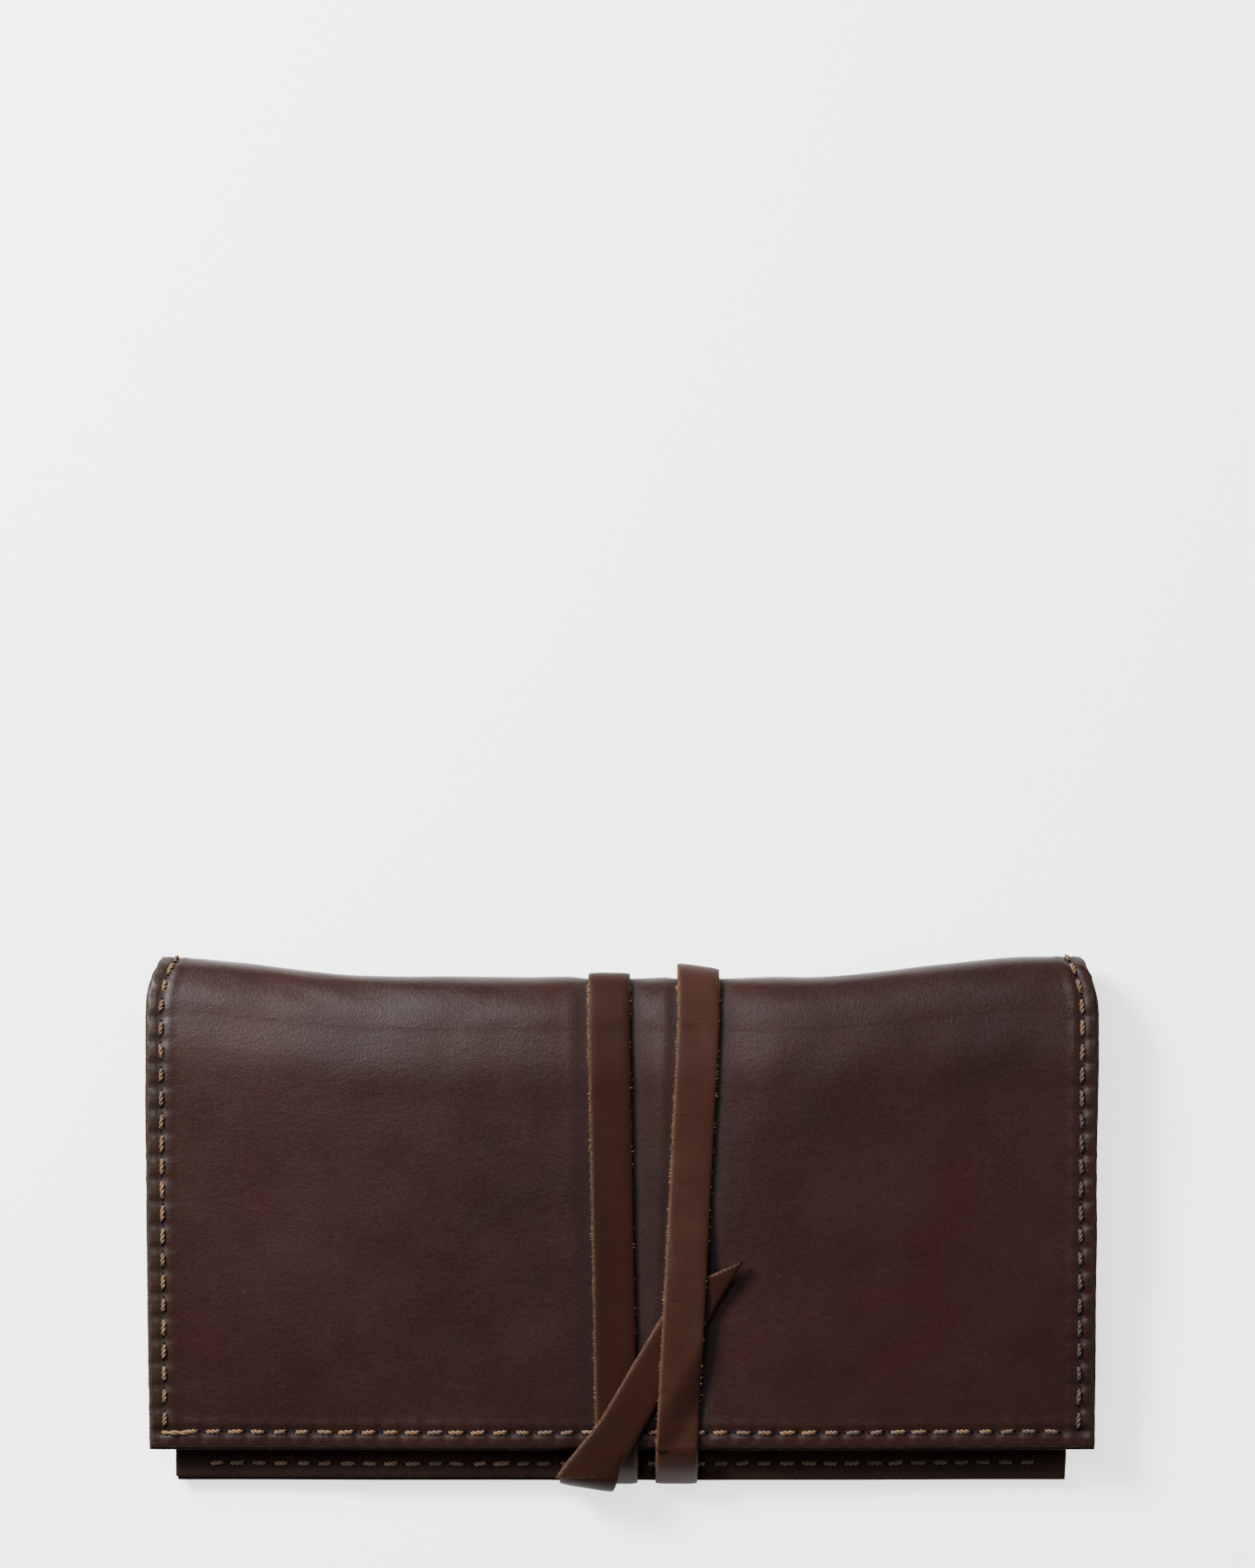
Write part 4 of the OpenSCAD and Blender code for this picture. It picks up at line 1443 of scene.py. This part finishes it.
class SidePath:
    """A smooth line through places (y, z), seen from the side."""

    def __init__(self, points: Sequence[tuple[float, float]], steps: int = 24) -> None:
        """Rounds the line through the points and measures it."""
        ends = [points[0], *points, points[-1]]
        self._line: list[tuple[float, float]] = []
        for index in range(1, len(ends) - 2):
            before, start, end, after = (Vector(ends[index + shift]) for shift in (-1, 0, 1, 2))
            for step in range(steps):
                share = step / steps
                spot = 0.5 * (2.0 * start + (end - before) * share
                              + (2.0 * before - 5.0 * start + 4.0 * end - after) * share ** 2
                              + (3.0 * start - before - 3.0 * end + after) * share ** 3)
                self._line.append((spot.x, spot.y))
        self._line.append(points[-1])
        self._runs = [0.0]
        for (y0, z0), (y1, z1) in zip(self._line, self._line[1:]):
            self._runs.append(self._runs[-1] + math.hypot(y1 - y0, z1 - z0))
        self.length = self._runs[-1]

    def at(self, share: float) -> tuple[Vector, Vector]:
        """Returns the place a share of the way along, and the unit normal on its outer side."""
        goal = clamp(share) * self.length
        index = min(max(bisect_right(self._runs, goal) - 1, 0), len(self._line) - 2)
        run = max(self._runs[index + 1] - self._runs[index], 1e-9)
        start, end = Vector(self._line[index]), Vector(self._line[index + 1])
        low, high = Vector(self._line[max(index - 4, 0)]), Vector(self._line[min(index + 5, len(self._line) - 1)])
        along = (high - low).normalized()
        return start.lerp(end, (goal - self._runs[index]) / run), Vector((along.y, -along.x))


@dataclass
class Tail:
    """The strap's pointed end, laid slantwise over the first turn and under the second."""

    form: CaseForm
    low_x: float = -8.6 * MM
    angle: float = 59.4
    length: float = 73.0 * MM
    tip_cut: float = 17.5 * MM
    height: float = 1.0 * MM
    tip_lift: float = 1.3 * MM
    tip_start: float = 60.0 * MM
    tip_share: float = 0.6
    curl_power: float = 1.5
    flare: float = 2.9 * MM
    flare_reach: float = 22.0 * MM
    upper_ramp: float = 26.0 * MM
    lower_ramp: float = 11.0 * MM
    overlap: float = 1.5 * MM
    inset: float = 2.6 * MM
    room_beside: float = 1.0 * MM
    room_above: float = 0.04 * MM

    def __post_init__(self) -> None:
        """Works out the tail's axes in plan."""
        turn = math.radians(self.angle)
        self.low_y = self.form.back_end_y + self.inset
        self.ahead = Vector((math.cos(turn), math.sin(turn), 0.0))
        self.left = Vector((-self.ahead.y, self.ahead.x, 0.0))

    def plain_z(self, y: float) -> float:
        """Returns the height of the flap's plain face under y, carried on past its free edge."""
        start = self.form.fold_start(0.0)
        return self.form.line(0.0, 2.0 + (start - y) / (start - self.form.flap_end_y)).z

    def start_height(self, strap: Strap) -> float:
        """Returns the height of the tail's middle layer at its lower end."""
        return self.plain_z(self.low_y) + self.height + 0.5 * strap.thickness

    def lift_over(self, x: float, y: float, strap: Strap) -> float:
        """Returns how far the second turn rises over the tail at x and y."""
        away = Vector((x - self.low_x, y - self.low_y, 0.0))
        side = away.dot(self.left)
        past = away.dot(self.ahead) - self.length + self.tip_share * self.tip_cut
        gap = max(abs(side) - self.form.turns[0].half_width - self.room_beside, past, 0.0)
        full = self.height + strap.thickness + self.form.valley + self.room_above
        return full * ease(1.0 - gap / (self.upper_ramp if side > 0.0 else self.lower_ramp))

    def build(self, strap: Strap, material: Material) -> None:
        """Makes the tail."""
        half = self.form.turns[0].half_width
        run = half / math.tan(math.radians(self.angle))
        start = -run - self.overlap
        length = run + self.length - start

        def clip(bm: Mesh) -> None:
            """Cuts the lower end level with the case's edge and the tip to a slanted point."""
            def flat(along: float, across: float) -> Vector:
                """Returns a place on the flat strap from distances in metres."""
                return Vector((0.5 + 0.5 * across / half, (along - start) / length, 0.0))

            tip, shoulder = flat(run + self.length, half), flat(run + self.length - self.tip_cut, -half)
            foot = flat(run - self.overlap, half), flat(start, -half)
            for right, left, sign in ((tip, shoulder, 1.0), (*foot, -1.0)):
                edge = right - left
                bmesh.ops.bisect_plane(
                    bm, geom=[*bm.verts, *bm.edges, *bm.faces], plane_co=right,
                    plane_no=Vector((-edge.y, edge.x, 0.0)) * sign, clear_outer=True,
                )

        def place(c: float, s: float, h: float) -> Vector:
            """Returns a place on the tail."""
            along = start + s * length
            spot = Vector((self.low_x, self.low_y, 0.0)) + self.ahead * along - self.left * c
            spot.x -= self.flare * ease(1.0 - (along - start) / self.flare_reach) * (0.5 - 0.5 * c / half)
            curl = self.tip_lift * ease((along - self.tip_start) / (self.length - self.tip_start)) ** self.curl_power
            z = self.plain_z(spot.y) + self.height + 0.5 * strap.thickness + curl + h
            return Vector((spot.x, spot.y, z))

        piece = keep(strap.ribbon(length, half, place, 0.2, 7.4, clip, ()), "strap_pointed_tail", material)
        strap.own(piece, self.length, "strap_tail")
        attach(piece, "tail")


@dataclass
class RawFibres:
    """The loose ends of fibre that stand out from raw cut edges."""

    chance: random.Random
    reach: tuple[float, float] = (0.4 * MM, 1.15 * MM)
    radius: tuple[float, float] = (0.07 * MM, 0.16 * MM)
    tip_radius: float = 0.01 * MM
    lean: float = 0.75
    shown: float = 0.42

    def tuft(self, roots: Iterable[Root]) -> Mesh:
        """Returns fibres that grow from some roots, each a place and the way out of the edge."""
        bm = bmesh.new()
        for place, outwards in roots:
            lean = Vector([self.chance.uniform(-self.lean, self.lean) for _ in range(3)])
            way = (outwards.normalized() + lean).normalized()
            length = self.chance.uniform(*self.reach)
            turn = way.to_track_quat("Z", "Y").to_matrix().to_4x4()
            bmesh.ops.create_cone(
                bm, cap_ends=True, segments=3, radius1=self.chance.uniform(*self.radius), radius2=self.tip_radius,
                depth=length, matrix=Matrix.Translation(place + way * self.shown * length) @ turn,
            )
        return bm

    def edge(self, path: Path, length: float, density: float) -> list[Root]:
        """Returns roots at random along an edge.

        Args:
            path: Gives a place on the edge and the way out of it, by a share of its length.
            length: The edge's length, in metres.
            density: How many fibres grow on a millimetre.
        """
        return [path(self.chance.random()) for _ in range(round(length / MM * density))]


@dataclass
class EdgeFibres:
    """The fibres on the raw edges of the sheet and of the strap."""

    form: CaseForm
    fibres: RawFibres
    thickness: float = 1.6 * MM
    in_sheet: tuple[float, float] = (0.1, 0.9)
    in_strap: tuple[float, float] = (0.35, 0.95)
    strap_run: tuple[float, float] = (1.7, 2.99)
    upturn: float = 0.3
    flap_sides: tuple[float, float] = (2.6, 1.8)
    flap_end: float = 1.3
    back_end: float = 1.6
    strap_sides: tuple[float, float] = (3.0, 0.7)

    def _depth(self) -> float:
        """Returns a depth in the sheet at random."""
        return self.fibres.chance.uniform(*self.in_sheet) * self.thickness

    def _side(self, sign: float) -> Path:
        """Returns the path down one side of the flap."""
        def path(share: float) -> Root:
            """Returns a place on this side."""
            return self.form.point(sign, mix(2.0, 3.0, share), self._depth()), Vector((sign, 0.0, 0.0))

        return path

    def _end(self, t: float) -> Path:
        """Returns the path along one of the sheet's free edges."""
        def path(share: float) -> Root:
            """Returns a place on this edge."""
            return self.form.point(2.0 * share - 1.0, t, self._depth()), Vector((0.0, -1.0, 0.0))

        return path

    def _strap(self, turn: Turn, sign: float, lift: Lift, height: float) -> Path:
        """Returns the path down one edge of a turn's front run."""
        def path(share: float) -> Root:
            """Returns a place on this edge."""
            t = mix(*self.strap_run, share)
            x = turn.middle(t) + sign * turn.half_width
            up = self.form.outward(x, t)
            rise = height * self.fibres.chance.uniform(*self.in_strap) + lift(x, t)
            return self.form.at(x, t) + up * rise, Vector((sign, 0.0, 0.0)) + up * self.upturn

        return path

    def _keep(self, roots: list[Root], name: str, body: str, slot: str, material: Material) -> None:
        """Makes one piece of fibres and puts it on its body."""
        piece = keep(self.fibres.tuft(roots), name, material, smooth=False)
        stands_for(piece, slot)
        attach(piece, body)

    def build(self, tail: Tail, strap: Strap, dark: Material, pale: Material) -> None:
        """Makes the fibres of the flap, the back and the strap."""
        edge = self.fibres.edge
        side = self.form.arc(3.0) - self.form.arc(2.0)
        width = 2.0 * self.form.flap_half
        left, right = self.flap_sides
        flap = edge(self._side(-1.0), side, left) + edge(self._side(1.0), side, right)
        flap += edge(self._end(3.0), width, self.flap_end)
        self._keep(flap, "flap_edge_fibres", "flap", "cover_leather", dark)
        self._keep(edge(self._end(0.0), width, self.back_end), "back_edge_fibres", "case", "cover_leather", dark)
        height = strap.clearance + strap.thickness

        def over(x: float, t: float) -> float:
            """Returns how far the second turn stands off the flap."""
            return tail.lift_over(x, self.form.line(x, t).y, strap) if t > 2.0 else 0.0

        left, right = self.strap_sides
        for turn, lift, name in zip(self.form.turns, (lambda x, t: 0.0, over), ("first", "second")):
            roots = edge(self._strap(turn, -1.0, lift, height), side, left)
            roots += edge(self._strap(turn, 1.0, lift, height), side, right)
            self._keep(roots, f"strap_{name}_turn_fibres", "flap", "strap_leather", pale)


@dataclass
class BrushPocket:
    """The inner panel, sewn down between its arched brush channels."""

    form: CaseForm
    count: int = 5
    pitch: float = 24.0 * MM
    seam: float = 4.0 * MM
    height: float = 5.0 * MM
    thickness: float = 1.15 * MM
    depth: float = 2.86 * MM
    end_length: float = 7.0 * MM
    spacing: float = 1.5 * MM
    low_margin: float = 9.5 * MM
    arch_wall: float = 0.684 * MM
    closed_end: float = 11.0 * MM
    arch_power: float = 3.4
    crown_power: float = 0.8
    slack: float = 0.05
    slack_size: float = 30.0 * MM
    mouth_reach: float = 12.0 * MM
    mouth_wave: float = 0.4 * MM
    wave_size: float = 200.0 * MM
    bulge: float = 0.08 * MM

    def __post_init__(self) -> None:
        """Takes the panel's outline from its plain node."""
        low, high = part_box("brush_pocket")
        (self.left, self.low_y), (self.right, self.high_y) = low[:2], high[:2]
        self.first_y = self.low_y + self.low_margin + 0.5 * (self.pitch - self.seam) + self.arch_wall
        self.closed_x = self.left + self.closed_end

    def arch(self, x: float, y: float) -> float:
        """Returns how high the panel stands over the lining at x and y."""
        index = round((y - self.first_y) / self.pitch)
        if not 0 <= index < self.count:
            return 0.0
        share = abs(y - self.first_y - index * self.pitch) / (0.5 * (self.pitch - self.seam))
        crown = (1.0 - share ** self.arch_power) ** self.crown_power if share < 1.0 else 0.0
        opened = ease((x - self.closed_x) / self.end_length)
        slack = wander(Vector((x, y, 0.0)), self.slack_size, 9.0) + hump(x - self.right, self.mouth_reach)
        return self.height * crown * opened * (1.0 + self.slack * slack)

    def spot(self, x: float, y: float, height: float) -> Vector:
        """Returns a place over the lining."""
        start = self.form.fold_start(x)
        t = (y - self.form.back_end_y) / (start - self.form.back_end_y)
        base = self.form.at(x, t, self.depth)
        return Vector((base.x, base.y, base.z + height))

    def build(self, leather: Material) -> None:
        """Makes the panel."""
        bm = grid(round((self.right - self.left) / self.spacing), round((self.high_y - self.low_y) / self.spacing))

        def at(flat: Vector, extra: float) -> Vector:
            """Returns a place on one of the panel's faces."""
            wave = self.mouth_wave * wander(Vector((0.0, flat.y, 0.0)), self.wave_size, 6.0) * flat.x ** 8
            x = mix(self.left, self.right, flat.x) + wave
            y = mix(self.low_y, self.high_y, flat.y)
            return self.spot(x, y, self.arch(x, y) + extra)

        shell(bm, lambda flat: at(flat, self.thickness), lambda flat: at(flat, 0.0), self.bulge)
        piece = keep(bm, "brush_pocket_panel", leather)
        stands_for(piece, "lining_leather", "brush_pocket")
        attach(piece, "case")

    def sew(self, work: StitchWork, thread: Material, stitch_pitch: float, length: float) -> None:
        """Sews the seams between the channels and the panel's edges."""
        stitches = []
        up = Vector((0.0, 0.0, 1.0))
        for index in range(self.count - 1):
            y = self.first_y + (index + 0.5) * self.pitch
            x = self.closed_x + self.end_length
            while x < self.right - length:
                ends = [self.spot(x + shift * 0.5 * length, y, self.thickness) for shift in (-1.0, 1.0)]
                stitches.append(Stitch(*ends, up, 0.1))
                x += stitch_pitch
        sewn = keep(work.thread(stitches), "pocket_seam_thread", thread)
        stands_for(sewn, "thread", "pocket_seam_stitching")
        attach(sewn, "case")


# ---------------------------------------------------------------- the set


@dataclass
class Studio:
    """A pale floor, soft light from the upper left and a camera straight above."""

    camera_place: tuple[float, float, float] = (0.0017, 0.1295, 2.0)
    lens: float = 154.5
    sensor: float = 36.0
    far: float = 20.0
    floor_half: float = 3.0
    floor_gap: float = 0.05 * MM
    surround: float = 0.14
    lamps: tuple[tuple[str, tuple[float, float, float], float, float], ...] = (
        ("key", (-0.8, 0.72, 0.85), 0.45, 62.0),
        ("sheen", (-0.45, 0.75, 1.9), 0.6, 17.0),
        ("fill", (1.3, -0.4, 1.3), 1.4, 5.0),
    )

    def camera(self) -> None:
        """Adds the camera, looking straight down."""
        lens = bpy.data.cameras.new("camera")
        lens.lens, lens.sensor_width, lens.clip_end = self.lens, self.sensor, self.far
        camera = bpy.data.objects.new("camera", lens)
        camera.location = self.camera_place
        bpy.context.scene.collection.objects.link(camera)
        bpy.context.scene.camera = camera

    def light(self) -> None:
        """Adds the soft square lamps, which face the case, and the pale surround."""
        for name, place, size, power in self.lamps:
            lamp = bpy.data.lights.new(name, "AREA")
            lamp.shape, lamp.size, lamp.energy = "SQUARE", size, power
            stand = bpy.data.objects.new(name, lamp)
            stand.location = place
            stand.rotation_euler = (-Vector(place)).to_track_quat("-Z", "Y").to_euler()
            bpy.context.scene.collection.objects.link(stand)
        world = bpy.data.worlds.new("surround")
        world.use_nodes = True
        sky = world.node_tree.nodes["Background"].inputs
        sky["Color"].default_value = (1.0, 1.0, 1.0, 1.0)
        sky["Strength"].default_value = self.surround
        bpy.context.scene.world = world

    def floor(self, material: Material) -> None:
        """Adds the floor."""
        bm = bmesh.new()
        bmesh.ops.create_grid(bm, x_segments=1, y_segments=1, size=self.floor_half)
        bmesh.ops.translate(bm, verts=bm.verts, vec=(0.0, 0.0, -self.floor_gap))
        keep(bm, "floor", material, smooth=False)


def main() -> None:
    """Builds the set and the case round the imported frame."""
    logging.basicConfig(level=logging.INFO, format="%(name)s: %(message)s")
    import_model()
    studio = Studio()
    studio.camera()
    studio.light()
    studio.floor(PaleFloor().build())

    cover, lining, strap_leather = SmoothLeather().build(), SuedeLeather().build(), StrapLeather().build()
    thread, hole = WaxedThread().build(), AwlHoleShade().build()
    form = CaseForm.from_frame()
    seams = EdgeSeams(form)
    work = StitchWork()
    rows = SeamRows(form, seams, random.Random(STITCH_SEED))
    case = Case(form, seams, rows, work)
    case.cover(cover)
    case.lining(lining)
    case.sew(thread, hole)
    pocket = BrushPocket(form)
    pocket.build(lining)
    pocket.sew(work, thread, seams.pitch, rows.length)
    strap, tail = Strap(form), Tail(form)
    strap.turns(tail, strap_leather)
    strap.bends(tail, strap_leather)
    strap.sewn_end(work, thread, strap_leather)
    tail.build(strap, strap_leather)
    dark = LooseFibre("cover_fibre", srgb(30, 22, 15), srgb(66, 50, 36)).build()
    pale = LooseFibre("strap_fibre", srgb(66, 46, 32), srgb(146, 118, 94)).build()
    EdgeFibres(form, RawFibres(random.Random(FIBRE_SEED))).build(tail, strap, dark, pale)


if __name__ == "__main__":
    main()
